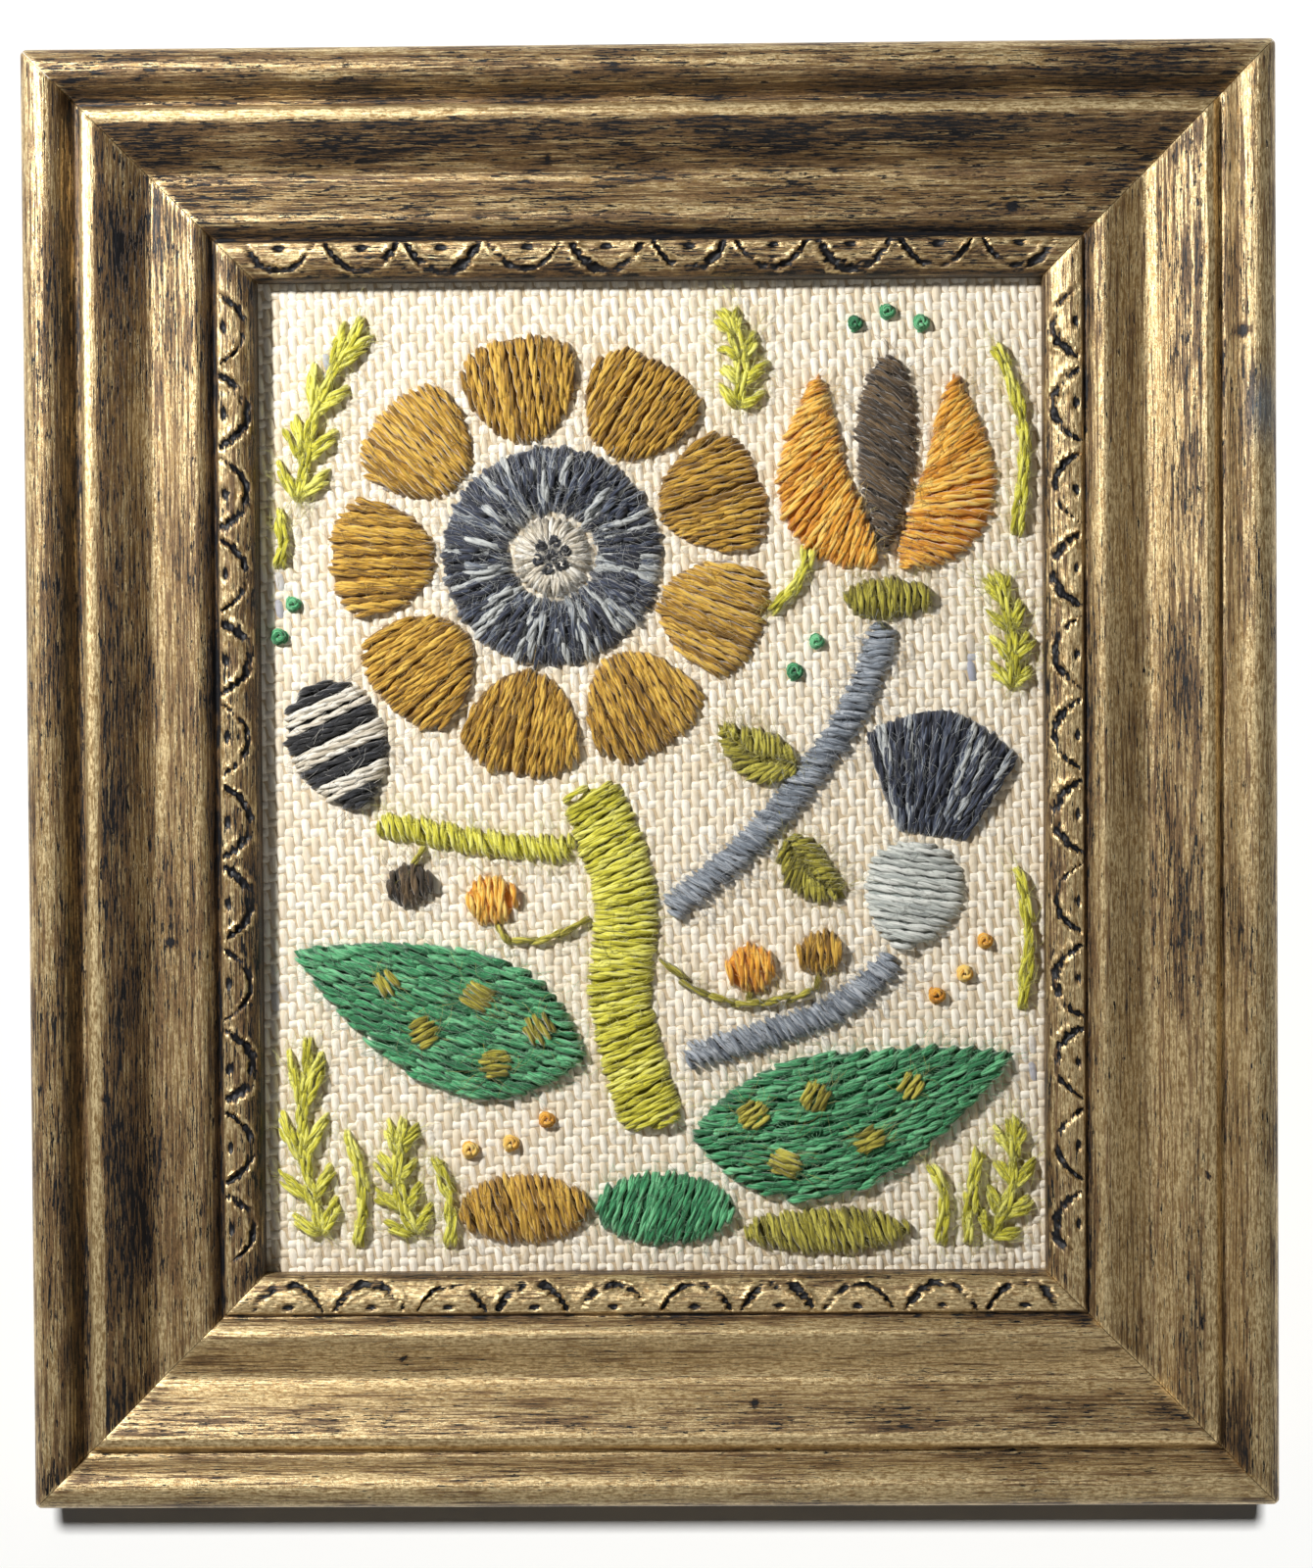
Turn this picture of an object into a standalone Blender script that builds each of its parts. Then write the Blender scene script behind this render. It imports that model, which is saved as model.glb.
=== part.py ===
"""A crewel embroidery panel in its wooden picture frame, lying on its back with the picture face up.

Four mitred moulded rails hold a twill ground cloth on a backing board. Each area of wool
stitching is a low crowned pad on the cloth. Sizes are in millimetres, and +Y is the
picture's top.
"""

import math

import bmesh
import bpy
from mathutils import Vector

MM = 0.001

# The frame: a five by four inch opening, and the moulding round it
SIGHT_WIDTH = 95.25
SIGHT_LENGTH = 120.65
RAIL_WIDTH = 27.0
OUTER_WIDTH = SIGHT_WIDTH + 2 * RAIL_WIDTH
OUTER_LENGTH = SIGHT_LENGTH + 2 * RAIL_WIDTH
MITRE_GAP = 0.3

# The moulding's section. The bead is its highest point
RABBET_INSET = 23.0
LIP_UNDERSIDE = 7.3
SIGHT_EDGE_TOP = 9.6
BACK_CHAMFER = 0.6
BEAD_INSET = 5.1
BAND_START = (22.5, 11.5)
BAND_END = (26.9, 10.0)

# Inset, height, then the sagitta and the divisions of the stretch up to the next row
FACE_BEFORE_BAND = (
    (BACK_CHAMFER, 0.0, 0.0, 1),
    (0.0, BACK_CHAMFER, 0.0, 1),
    (0.0, 15.2, 2.45, 8),
    (BEAD_INSET, 15.9, 0.0, 1),
    (5.8, 14.3, -0.1, 2),
    (6.7, 14.2, 0.0, 1),
    (7.0, 15.1, 0.1, 2),
    (8.1, 15.3, 0.95, 5),
    (13.7, 10.7, -0.25, 2),
    (14.9, 10.3, 0.35, 4),
    (20.2, 12.9, 0.1, 2),
    (21.7, 11.5, 0.0, 1),
    (21.9, 10.9, 0.0, 1),
    (22.4, 10.9, 0.0, 1),
)
FACE_AFTER_BAND = (
    (RAIL_WIDTH, SIGHT_EDGE_TOP, 0.0, 1),
    (RAIL_WIDTH, LIP_UNDERSIDE, 0.0, 1),
    (RABBET_INSET, LIP_UNDERSIDE, 0.0, 1),
    (RABBET_INSET, 0.0, 0.0, 1),
)

# The stamped crescents along the convex band next to the opening
BAND_SAGITTA = 0.7
BAND_COLUMNS = 6
CRESCENT_PITCH = 9.9
CRESCENT_HALF_SPAN = 4.35
CRESCENT_INSET = 26.0
CRESCENT_RISE = 3.0
CRESCENT_STROKE = 0.65
CRESCENT_DEPTH = 0.35
ROWS_PER_CRESCENT = 8
CRESCENTS_ON_SHORT_RAIL = 10
CRESCENTS_ON_LONG_RAIL = 12

# What lies in the rabbet: the board, and the cloth stretched on it
FIT_GAP = 0.3
CLOTH_THICKNESS = 1.2
BOARD_THICKNESS = 3.0
INSERT_WIDTH = OUTER_WIDTH - 2 * RABBET_INSET - 2 * FIT_GAP
INSERT_LENGTH = OUTER_LENGTH - 2 * RABBET_INSET - 2 * FIT_GAP
CLOTH_TOP = LIP_UNDERSIDE - FIT_GAP
CLOTH_BOTTOM = CLOTH_TOP - CLOTH_THICKNESS
BOARD_TOP = CLOTH_BOTTOM - FIT_GAP

# Wool pads
PAD_BOTTOM = CLOTH_TOP + FIT_GAP
RIM_HEIGHT = 0.55
PAD_ROWS = 12
LONG_PAD_ROWS = 16
PAD_COLUMNS = 4
RING_ROWS = 28

# The rosette: an eye, a ring round it, then petals
ROSETTE_CENTRE = (-12.0, 27.0)
EYE_RADIUS = 4.6
RING_INNER = 5.2
RING_OUTER = 13.6
PETAL_INNER = 14.2
PETAL_OUTER = 27.0
PETAL_WIDTH = 14.2
PETALS = 9

# Name, wool, outline, width, height, and the points that its middle line passes through
MOTIFS = (
    ("main_stem", "chartreuse", "band", 7.6, 1.8, ((0.0, -43.0), (-4.0, -28.0), (-3.4, -14.0), (-7.8, -1.2))),
    ("tulip_left", "orange", "leaf", 9.2, 1.7, ((27.2, 25.6), (20.2, 34.0), (20.6, 49.0))),
    ("tulip_right", "orange", "leaf", 9.2, 1.7, ((30.4, 25.6), (37.4, 34.0), (37.0, 49.0))),
    ("tulip_heart", "brown", "petal", 7.2, 1.8, ((28.8, 27.4), (28.8, 51.0))),
    ("tulip_calyx", "olive", "oval", 5.0, 1.7, ((23.4, 21.6), (34.2, 21.6))),
    ("tulip_stem", "grey", "band", 3.4, 1.6, ((28.6, 18.4), (24.0, 7.0), (13.0, -7.0), (1.8, -16.4))),
    ("stem_leaf_low", "olive", "leaf", 6.0, 1.4, ((16.2, -7.6), (19.4, -12.0), (23.6, -15.0))),
    ("stem_leaf_high", "olive", "leaf", 6.0, 1.4, ((17.8, 1.4), (12.6, 2.6), (8.0, 6.4))),
    ("thistle_calyx", "pale_grey", "egg", 12.0, 1.9, ((30.2, -21.0), (33.2, -8.2))),
    ("thistle_fan", "slate", "fan", 20.0, 1.9, ((33.6, -7.4), (36.0, 8.0))),
    ("thistle_stem", "grey", "band", 3.2, 1.6, ((29.6, -22.4), (21.0, -29.0), (3.8, -34.4))),
    ("leaf_right", "emerald", "leaf", 17.6, 1.9, ((4.6, -43.8), (22.0, -42.4), (44.0, -34.0))),
    ("leaf_left", "emerald", "leaf", 18.0, 1.9, ((-8.6, -34.4), (-24.0, -29.4), (-44.0, -21.0))),
    ("bud_stem", "chartreuse", "band", 3.0, 1.5, ((-9.6, -8.8), (-20.0, -8.0), (-33.6, -5.4))),
    ("striped_bud", "black", "egg", 12.0, 1.9, ((-35.6, -3.6), (-40.8, 11.8))),
    ("fern_top_left", "chartreuse", "fern", 8.0, 1.3, ((-42.8, 34.0), (-40.6, 45.0), (-34.8, 56.0))),
    ("fern_top", "chartreuse", "fern", 6.8, 1.3, ((10.8, 45.0), (11.4, 51.0), (8.8, 57.0))),
    ("fern_right", "chartreuse", "fern", 6.2, 1.3, ((44.0, 10.6), (43.8, 18.0), (41.6, 25.0))),
    ("fern_low_left", "chartreuse", "fern", 8.4, 1.3, ((-40.6, -55.8), (-43.0, -46.0), (-42.4, -31.6))),
    ("fern_inner_left", "chartreuse", "fern", 7.8, 1.3, ((-29.4, -55.8), (-31.6, -49.0), (-30.6, -41.4))),
    ("fern_low_right", "chartreuse", "fern", 7.2, 1.3, ((41.0, -56.6), (43.8, -50.0), (43.4, -41.6))),
    ("mound_left", "mustard", "oval", 8.2, 1.8, ((-23.8, -52.8), (-8.0, -52.8))),
    ("mound_middle", "emerald", "oval", 8.8, 1.8, ((-7.2, -52.8), (9.6, -52.8))),
    ("mound_right", "olive", "oval", 5.4, 1.6, ((11.0, -55.6), (31.0, -55.6))),
    ("berry_high", "orange", "oval", 6.0, 1.7, ((9.0, -23.4), (15.0, -23.4))),
    ("berry_low", "mustard", "oval", 5.4, 1.7, ((17.8, -21.6), (23.2, -21.6))),
    ("berry_left", "orange", "oval", 6.0, 1.7, ((-22.8, -15.0), (-16.8, -15.0))),
    ("berry_outer", "brown", "oval", 5.4, 1.7, ((-32.4, -13.0), (-27.0, -13.0))),
)

# Colour, roughness and metallic value of each material
FINISHES = {
    "gilded_wood": ((0.31, 0.21, 0.10), 0.42, 0.7),
    "ground_cloth": ((0.82, 0.75, 0.61), 0.95, 0.0),
    "backing_board": ((0.35, 0.27, 0.19), 0.9, 0.0),
    "mustard": ((0.50, 0.27, 0.03), 0.9, 0.0),
    "slate": ((0.07, 0.11, 0.19), 0.9, 0.0),
    "grey": ((0.22, 0.26, 0.33), 0.9, 0.0),
    "pale_grey": ((0.48, 0.53, 0.55), 0.9, 0.0),
    "chartreuse": ((0.58, 0.56, 0.03), 0.9, 0.0),
    "olive": ((0.34, 0.29, 0.02), 0.9, 0.0),
    "emerald": ((0.03, 0.29, 0.13), 0.9, 0.0),
    "orange": ((0.70, 0.25, 0.03), 0.9, 0.0),
    "brown": ((0.08, 0.045, 0.02), 0.9, 0.0),
    "black": ((0.01, 0.011, 0.016), 0.9, 0.0),
    "cream": ((0.83, 0.76, 0.62), 0.9, 0.0),
}


# Lines and sections


def arc(start, end, sagitta, divisions):
    """Points from start up to, but without, end, on an arc that bulges to the left of the way by sagitta."""
    first, last = Vector(start), Vector(end)
    chord = last - first
    if divisions == 1 or sagitta == 0.0:
        return [first.lerp(last, i / divisions) for i in range(divisions)]
    half = chord.length / 2
    radius = (half**2 + sagitta**2) / (2 * sagitta)
    left = Vector((-chord.y, chord.x)).normalized()
    centre = (first + last) / 2 + left * (sagitta - radius)
    turn = 2 * math.asin(half / abs(radius)) * math.copysign(1, radius)
    spoke = first - centre
    points = []
    for i in range(divisions):
        angle = -turn * i / divisions
        points.append(centre + Vector((
            spoke.x * math.cos(angle) - spoke.y * math.sin(angle),
            spoke.x * math.sin(angle) + spoke.y * math.cos(angle),
        )))
    return points


def stretch_points(rows, end):
    """The points of a run of section rows, up to but without the end point."""
    corners = [row[:2] for row in rows] + [end]
    points = []
    for row, after in zip(rows, corners[1:]):
        points.extend(arc(row[:2], after, row[2], row[3]))
    return points


def smooth_line(points, count):
    """Places and unit directions, count + 1 of each, on a smooth curve through two or more points."""
    line = [Vector(p) for p in points]
    line = [2 * line[0] - line[1], *line, 2 * line[-1] - line[-2]]
    stretches = len(line) - 3
    places = []
    directions = []
    for i in range(count + 1):
        at = min(i / count * stretches, stretches - 1e-9)
        k = int(at)
        t = at - k
        a, b, c, d = line[k : k + 4]
        places.append(
            0.5 * (2 * b + (c - a) * t + (2 * a - 5 * b + 4 * c - d) * t**2 + (3 * b - a - 3 * c + d) * t**3)
        )
        slope = 0.5 * ((c - a) + 2 * (2 * a - 5 * b + 4 * c - d) * t + 3 * (3 * b - a - 3 * c + d) * t**2)
        directions.append(slope.normalized())
    return places, directions


# Outlines: the half width at a share of the length, as a share of the widest


def oval(share):
    return math.sqrt(max(0.0, 1 - (2 * share - 1) ** 2))


def egg(share):
    """Widest a little below the middle, with a rounder base."""
    return oval(share**1.25)


def leaf(share):
    """Pointed at both ends, and widest before the middle."""
    return math.sin(math.pi * share**0.85) ** 0.85


def petal(share):
    """Narrow at the base and round at the tip."""
    return math.sin(math.pi * share**1.3) ** 0.55


def round_petal(share):
    """Full almost to its base, so that neighbours round a flower nearly touch."""
    return math.sin(math.pi * share**1.3) ** 0.35


def band(share):
    """Straight sides and short rounded ends."""
    end = 0.04
    near = min(share, 1 - share)
    return 1.0 if near >= end else math.sqrt(1 - (1 - near / end) ** 2)


def fan(share):
    """Opens from a narrow base to its full width, with a rounded far edge."""
    base, opened_at, base_end, tip_end = 0.42, 0.75, 0.06, 0.3
    opening = base + (1 - base) * min(1.0, share / opened_at)
    return opening * min(1.0, share / base_end) ** 0.5 * min(1.0, (1 - share) / tip_end) ** 0.6


def fern(share):
    """Leaflets, widest at the low end, which give it a toothed edge."""
    leaflets = 4
    tooth = abs(math.sin(math.pi * leaflets * share))
    return (0.42 + 0.58 * tooth) * (1 - 0.45 * share) * oval(share) ** 0.4


OUTLINES = {
    "oval": oval,
    "egg": egg,
    "leaf": leaf,
    "petal": petal,
    "round_petal": round_petal,
    "band": band,
    "fan": fan,
    "fern": fern,
}


# Meshes


def finish(name):
    """The material of that name, made the first time that it is asked for."""
    material = bpy.data.materials.get(name)
    if material is None:
        colour, roughness, metallic = FINISHES[name]
        material = bpy.data.materials.new(name)
        material.use_nodes = True
        shader = material.node_tree.nodes["Principled BSDF"]
        shader.inputs["Base Color"].default_value = (*colour, 1.0)
        shader.inputs["Roughness"].default_value = roughness
        shader.inputs["Metallic"].default_value = metallic
    return material


def add_object(name, mesh, material):
    """An object from a bmesh in millimetres, turned into metres, with its faces outward."""
    bmesh.ops.recalc_face_normals(mesh, faces=mesh.faces)
    bmesh.ops.scale(mesh, vec=(MM, MM, MM), verts=mesh.verts)
    data = bpy.data.meshes.new(name)
    mesh.to_mesh(data)
    mesh.free()
    data.materials.append(finish(material))
    made = bpy.data.objects.new(name, data)
    bpy.context.scene.collection.objects.link(made)
    return made


def crescent_depth(along, inset, crescents):
    """How deep the stamp lies at a place of the band. Each crescent bulges towards the opening."""
    number = round(along / CRESCENT_PITCH + (crescents - 1) / 2)
    number = min(max(number, 0), crescents - 1)
    offset = along - (number - (crescents - 1) / 2) * CRESCENT_PITCH
    if abs(offset) > CRESCENT_HALF_SPAN:
        return 0.0
    middle = CRESCENT_INSET - CRESCENT_RISE * (offset / CRESCENT_HALF_SPAN) ** 2
    return CRESCENT_DEPTH * math.exp(-(((inset - middle) / CRESCENT_STROKE) ** 2))


def rail(name, length, crescents, turn, place):
    """One mitred rail. Its mesh has x along it, y from its outer edge inward, and z up."""
    plain = stretch_points(FACE_BEFORE_BAND, BAND_START)
    stamped = arc(BAND_START, BAND_END, BAND_SAGITTA, BAND_COLUMNS) + [Vector(BAND_END)]
    under = stretch_points(FACE_AFTER_BAND, FACE_BEFORE_BAND[0][:2])
    rows = crescents * ROWS_PER_CRESCENT

    def half_span(inset):
        return length / 2 - inset - MITRE_GAP / math.sqrt(2)

    mesh = bmesh.new()

    def column(point, divisions, depth):
        """The vertices of one section point along the rail, from its left end to its right."""
        reach = half_span(point.x)
        vertices = []
        for i in range(divisions + 1):
            along = reach * (2 * i / divisions - 1)
            sunk = depth(along, point.x) if depth else 0.0
            vertices.append(mesh.verts.new((along, point.x, point.y - sunk)))
        return vertices

    def stamp(along, inset):
        return crescent_depth(along, inset, crescents)

    columns = [column(p, 1, None) for p in plain]
    columns.append(column(stamped[0], rows, None))
    columns.extend(column(p, rows, stamp) for p in stamped[1:-1])
    columns.append(column(stamped[-1], rows, None))
    columns.extend(column(p, 1, None) for p in under)

    for left, right in zip(columns, columns[1:] + columns[:1]):
        if len(left) == len(right):
            for i in range(len(left) - 1):
                mesh.faces.new((left[i], left[i + 1], right[i + 1], right[i]))
        else:
            mesh.faces.new([*left, *reversed(right)])
    for end in (0, -1):
        mesh.faces.new([c[end] for c in columns])

    made = add_object(name, mesh, "gilded_wood")
    made.rotation_euler.z = turn
    made.location = (place[0] * MM, place[1] * MM, 0.0)
    return made


def slab(name, bottom, thickness, material):
    """The board or the cloth: a flat sheet that fills the rabbet's width and length."""
    mesh = bmesh.new()
    bmesh.ops.create_cube(mesh, size=1.0)
    bmesh.ops.scale(mesh, vec=(INSERT_WIDTH, INSERT_LENGTH, thickness), verts=mesh.verts)
    bmesh.ops.translate(mesh, vec=(0.0, 0.0, bottom + thickness / 2), verts=mesh.verts)
    return add_object(name, mesh, material)


def crowned_row(mesh, middle, across, half_width, height, columns):
    """Vertices over a pad from its left rim to its right, domed between them."""
    vertices = []
    for j in range(columns + 1):
        side = 2 * j / columns - 1
        rise = RIM_HEIGHT + (height - RIM_HEIGHT) * math.sqrt(1 - side**2)
        flat = middle + across * (side * half_width)
        vertices.append(mesh.verts.new((flat.x, flat.y, PAD_BOTTOM + rise)))
    return vertices


def pad(name, wool, outline, width, height, points):
    """A low domed pad of stitching round a middle line, with a flat underside."""
    long_pad = outline in ("band", "fern")
    rows = LONG_PAD_ROWS if long_pad else PAD_ROWS
    columns = 2 if long_pad else PAD_COLUMNS
    places, directions = smooth_line(points, rows)
    mesh = bmesh.new()

    def base(place):
        return mesh.verts.new((place.x, place.y, PAD_BOTTOM))

    def rim(place):
        return mesh.verts.new((place.x, place.y, PAD_BOTTOM + RIM_HEIGHT))

    first_base, first_rim = base(places[0]), rim(places[0])
    last_base, last_rim = base(places[-1]), rim(places[-1])
    tops = []
    feet = []
    for i in range(1, rows):
        half_width = OUTLINES[outline](i / rows) * width / 2
        across = Vector((-directions[i].y, directions[i].x))
        near_end = math.sqrt(math.sin(math.pi * i / rows))
        crown = RIM_HEIGHT + (height - RIM_HEIGHT) * near_end
        tops.append(crowned_row(mesh, places[i], across, half_width, crown, columns))
        feet.append((base(places[i] - across * half_width), base(places[i] + across * half_width)))

    for here, after in zip(tops, tops[1:]):
        for j in range(columns):
            mesh.faces.new((here[j], here[j + 1], after[j + 1], after[j]))
    for j in range(columns):
        mesh.faces.new((first_rim, tops[0][j + 1], tops[0][j]))
        mesh.faces.new((last_rim, tops[-1][j], tops[-1][j + 1]))
    upper = [first_rim, *(t[0] for t in tops), last_rim, *(t[-1] for t in reversed(tops))]
    lower = [first_base, *(f[0] for f in feet), last_base, *(f[1] for f in reversed(feet))]
    for i, top in enumerate(upper):
        after = (i + 1) % len(upper)
        mesh.faces.new((top, upper[after], lower[after], lower[i]))
    for here, after in zip(feet, feet[1:]):
        mesh.faces.new((here[0], after[0], after[1], here[1]))
    mesh.faces.new((first_base, feet[0][0], feet[0][1]))
    mesh.faces.new((last_base, feet[-1][0], feet[-1][1]))
    return add_object(name, mesh, wool)


def ring_pad(name, wool, centre, inner, outer, height):
    """A domed ring of stitching with a flat underside."""
    mesh = bmesh.new()
    middle = (inner + outer) / 2
    half_width = (outer - inner) / 2
    loops = []
    for i in range(RING_ROWS):
        angle = 2 * math.pi * i / RING_ROWS
        across = Vector((math.cos(angle), math.sin(angle)))
        place = Vector(centre) + across * middle
        top = crowned_row(mesh, place, across, half_width, height, PAD_COLUMNS)
        feet = [
            mesh.verts.new((*(place + across * side * half_width), PAD_BOTTOM))
            for side in (1, -1)
        ]
        loops.append([*top, *feet])
    for here, after in zip(loops, loops[1:] + loops[:1]):
        for j in range(len(here)):
            k = (j + 1) % len(here)
            mesh.faces.new((here[j], here[k], after[k], after[j]))
    return add_object(name, mesh, wool)


def frame_rails():
    short = ("rail_bottom", OUTER_WIDTH, CRESCENTS_ON_SHORT_RAIL, 0.0, (0.0, -OUTER_LENGTH / 2))
    far = ("rail_top", OUTER_WIDTH, CRESCENTS_ON_SHORT_RAIL, math.pi, (0.0, OUTER_LENGTH / 2))
    right = ("rail_right", OUTER_LENGTH, CRESCENTS_ON_LONG_RAIL, math.pi / 2, (OUTER_WIDTH / 2, 0.0))
    left = ("rail_left", OUTER_LENGTH, CRESCENTS_ON_LONG_RAIL, -math.pi / 2, (-OUTER_WIDTH / 2, 0.0))
    for row in (short, far, right, left):
        rail(*row)


def rosette():
    x, y = ROSETTE_CENTRE
    eye_line = ((x - EYE_RADIUS, y), (x + EYE_RADIUS, y))
    pad("rosette_eye", "cream", "oval", 2 * EYE_RADIUS, 1.7, eye_line)
    ring_pad("rosette_ring", "slate", ROSETTE_CENTRE, RING_INNER, RING_OUTER, 1.8)
    for i in range(PETALS):
        angle = 2 * math.pi * (i + 0.5) / PETALS
        spoke = Vector((math.cos(angle), math.sin(angle)))
        centre = Vector(ROSETTE_CENTRE)
        line = (centre + spoke * PETAL_INNER, centre + spoke * PETAL_OUTER)
        pad(f"rosette_petal_{i + 1}", "mustard", "round_petal", PETAL_WIDTH, 1.7, line)


def build():
    for old in list(bpy.data.objects):
        bpy.data.objects.remove(old, do_unlink=True)
    frame_rails()
    slab("backing_board", BOARD_TOP - BOARD_THICKNESS, BOARD_THICKNESS, "backing_board")
    slab("ground_cloth", CLOTH_BOTTOM, CLOTH_THICKNESS, "ground_cloth")
    rosette()
    for row in MOTIFS:
        pad(*row)


build()
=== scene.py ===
"""The looks of a crewel embroidery panel in its antique gold picture frame, lying on its back.

Sizes are in millimetres until a mesh is made, and +Y is the picture's top.
"""

import math

import bpy
import numpy as np
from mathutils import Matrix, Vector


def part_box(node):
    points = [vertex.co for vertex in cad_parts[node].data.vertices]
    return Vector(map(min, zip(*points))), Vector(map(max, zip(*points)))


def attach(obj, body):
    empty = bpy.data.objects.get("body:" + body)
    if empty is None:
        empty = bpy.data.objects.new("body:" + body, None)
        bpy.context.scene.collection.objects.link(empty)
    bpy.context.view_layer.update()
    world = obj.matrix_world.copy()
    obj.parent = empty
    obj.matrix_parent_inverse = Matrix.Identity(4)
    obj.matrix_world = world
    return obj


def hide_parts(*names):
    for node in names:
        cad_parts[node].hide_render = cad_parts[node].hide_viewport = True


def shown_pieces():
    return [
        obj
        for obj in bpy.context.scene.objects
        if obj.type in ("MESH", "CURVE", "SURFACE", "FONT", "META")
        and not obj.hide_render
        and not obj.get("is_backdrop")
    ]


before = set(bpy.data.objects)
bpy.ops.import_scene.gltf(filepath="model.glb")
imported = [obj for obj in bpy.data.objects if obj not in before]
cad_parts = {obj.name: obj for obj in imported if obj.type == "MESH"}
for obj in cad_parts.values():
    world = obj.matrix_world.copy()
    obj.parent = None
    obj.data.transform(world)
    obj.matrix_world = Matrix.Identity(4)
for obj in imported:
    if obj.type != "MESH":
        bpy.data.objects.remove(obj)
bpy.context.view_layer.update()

MM = 0.001
chance = np.random.default_rng(11)


# Places taken from the frame


def node_box(name):
    """Lowest and highest corner of a solid, in millimetres."""
    low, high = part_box(name)
    return np.array(low) / MM, np.array(high) / MM


OUTER_WIDTH = 2 * node_box("rail_right")[1][0]
OUTER_LENGTH = 2 * node_box("rail_top")[1][1]
RAIL_WIDTH = node_box("rail_bottom")[1][1] - node_box("rail_bottom")[0][1]
SIGHT_WIDTH = OUTER_WIDTH - 2 * RAIL_WIDTH
SIGHT_LENGTH = OUTER_LENGTH - 2 * RAIL_WIDTH
CLOTH_LOW, CLOTH_HIGH = node_box("ground_cloth")
CLOTH_TOP = CLOTH_HIGH[2]


# The moulding, as in the solids: inset, height, and the sagitta and divisions of the next stretch

RABBET_INSET = 23.0
LIP_UNDERSIDE = 7.3
BACK_CHAMFER = 0.6
BAND_START = (22.5, 11.5)
BAND_END = (26.9, 10.0)
MOULDING_FACE = (
    (0.0, BACK_CHAMFER, 0.0, 5),
    (0.0, 15.2, 2.45, 10),
    (5.1, 15.9, 0.0, 2),
    (5.8, 14.3, -0.1, 2),
    (6.7, 14.2, 0.0, 2),
    (7.0, 15.1, 0.1, 4),
    (8.1, 15.3, 0.95, 10),
    (13.7, 10.7, -0.25, 3),
    (14.9, 10.3, 0.35, 9),
    (20.2, 12.9, 0.1, 4),
    (21.7, 11.5, 0.0, 2),
    (21.9, 10.9, 0.0, 2),
    (22.4, 10.9, 0.0, 1),
    (*BAND_START, 0.7, 27),
    (*BAND_END, 0.0, 1),
    (RAIL_WIDTH, 9.6, 0.0, 3),
)
MOULDING_BACK = (
    (RAIL_WIDTH, LIP_UNDERSIDE, 0.0, 1),
    (RABBET_INSET, LIP_UNDERSIDE, 0.0, 1),
    (RABBET_INSET, 0.0, 0.0, 1),
    (BACK_CHAMFER, 0.0, 0.0, 1),
)
EDGE_SOFTENING = 1
HOLLOW_SOFTENING = 14
HOLLOW = (9.5, 19.0)
RAIL_STEPS = 370
SHARP_ANGLE = 48.0
GRAIN_SHIFT = 17.0
MITRE_GAP = 0.07
MITRE_ROUNDING = 0.1
MITRE_REACH = 0.18
CORNER_RADIUS = 0.8
WANDER = 0.03

# How much dark paint stays, with painted shade in the valley beside the fillet and a painted highlight on
# the fillet: inset from the outer side, and strength
DARK_PAINT_SHADE_AND_HIGHLIGHT = (
    (0.0, 0.45), (0.9, 0.1), (2.6, 0.0), (4.4, 0.3), (5.3, 0.4), (6.6, 0.4),
    (6.9, -0.4), (7.4, -1.2), (8.1, -0.8), (8.5, 0.5), (9.2, 0.5), (11.0, 0.45),
    (12.6, 0.2), (15.0, 0.1), (17.5, 0.1), (19.9, 0.0), (20.8, 0.1), (21.5, 0.5),
    (22.3, 1.1), (22.7, -0.3), (23.2, -0.2), (24.6, 0.1), (26.2, 0.3), (27.0, 0.8),
)
# Painted shade and light for each rail as a whole: darker on the top and left rails, lighter on the
# bottom and right rails
PAINTED_RAIL_SHADE = {"rail_bottom": -0.15, "rail_right": -0.1, "rail_top": 0.4, "rail_left": 0.3}

# The stamped band: crescents that bulge towards the opening, and a dot beside each
CRESCENT_PITCH = 9.9
CRESCENT_HALF_SPAN = 4.3
CRESCENT_INSET = 25.9
CRESCENT_RISE = 3.1
CRESCENT_DEPTH = 0.55
CRESCENT_LOWEST = 9.7
BAND_FADE = 0.5
BAND_EDGE = 0.1
END_FADE = 3.0
PITTING = 0.04
STROKE_MIDDLE = 0.34
STROKE_END = 0.62
LIP_RISE = 0.26
DOT_INSET = 23.3
DOT_LENGTH = 0.6
DOT_WIDTH = 0.34
DOT_DEPTH = 0.42
CRESCENTS = {"short": 10, "long": 12}

# Small dark dents and specks: place, reach, and strength
DARK_SPOTS = (
    (43.6, 68.2, 0.45, 1.0),
    (-58.4, -19.6, 0.4, 1.0),
    (70.4, 52.6, 0.5, 1.0),
    (-66.0, -38.0, 0.3, 0.9),
    (12.0, -75.5, 0.35, 0.8),
    (-30.5, -70.2, 0.3, 0.8),
    (66.5, -48.0, 0.4, 0.6),
    (-12.0, 74.5, 0.3, 0.7),
)
SPOT_STRENGTH = 3.5

# A rub of blue on the right rail: place, and reach across and along
BLUE_RUB = (72.8, 43.5, 1.6, 4.2)
RUB_STRENGTH = 0.7

# Where more of the black shows: place, reach across and along, and strength
SOOT = (
    (-62.0, -52.0, 3.6, 15.0, 0.3),
    (-56.0, 75.0, 5.0, 3.0, 0.4),
    (-60.0, 66.0, 3.0, 4.0, 0.35),
    (61.5, 5.0, 3.4, 34.0, 0.15),
    (65.0, 62.0, 4.0, 6.0, 0.4),
    (60.0, -68.0, 7.0, 4.0, 0.35),
    (36.0, -75.0, 14.0, 2.6, 0.25),
    (52.0, 85.0, 10.0, 2.0, 0.25),
    (70.0, -78.0, 2.6, 6.0, 0.5),
    (48.0, -80.5, 12.0, 1.0, 0.4),
    (-66.0, -84.0, 4.0, 1.6, 0.4),
)


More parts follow.
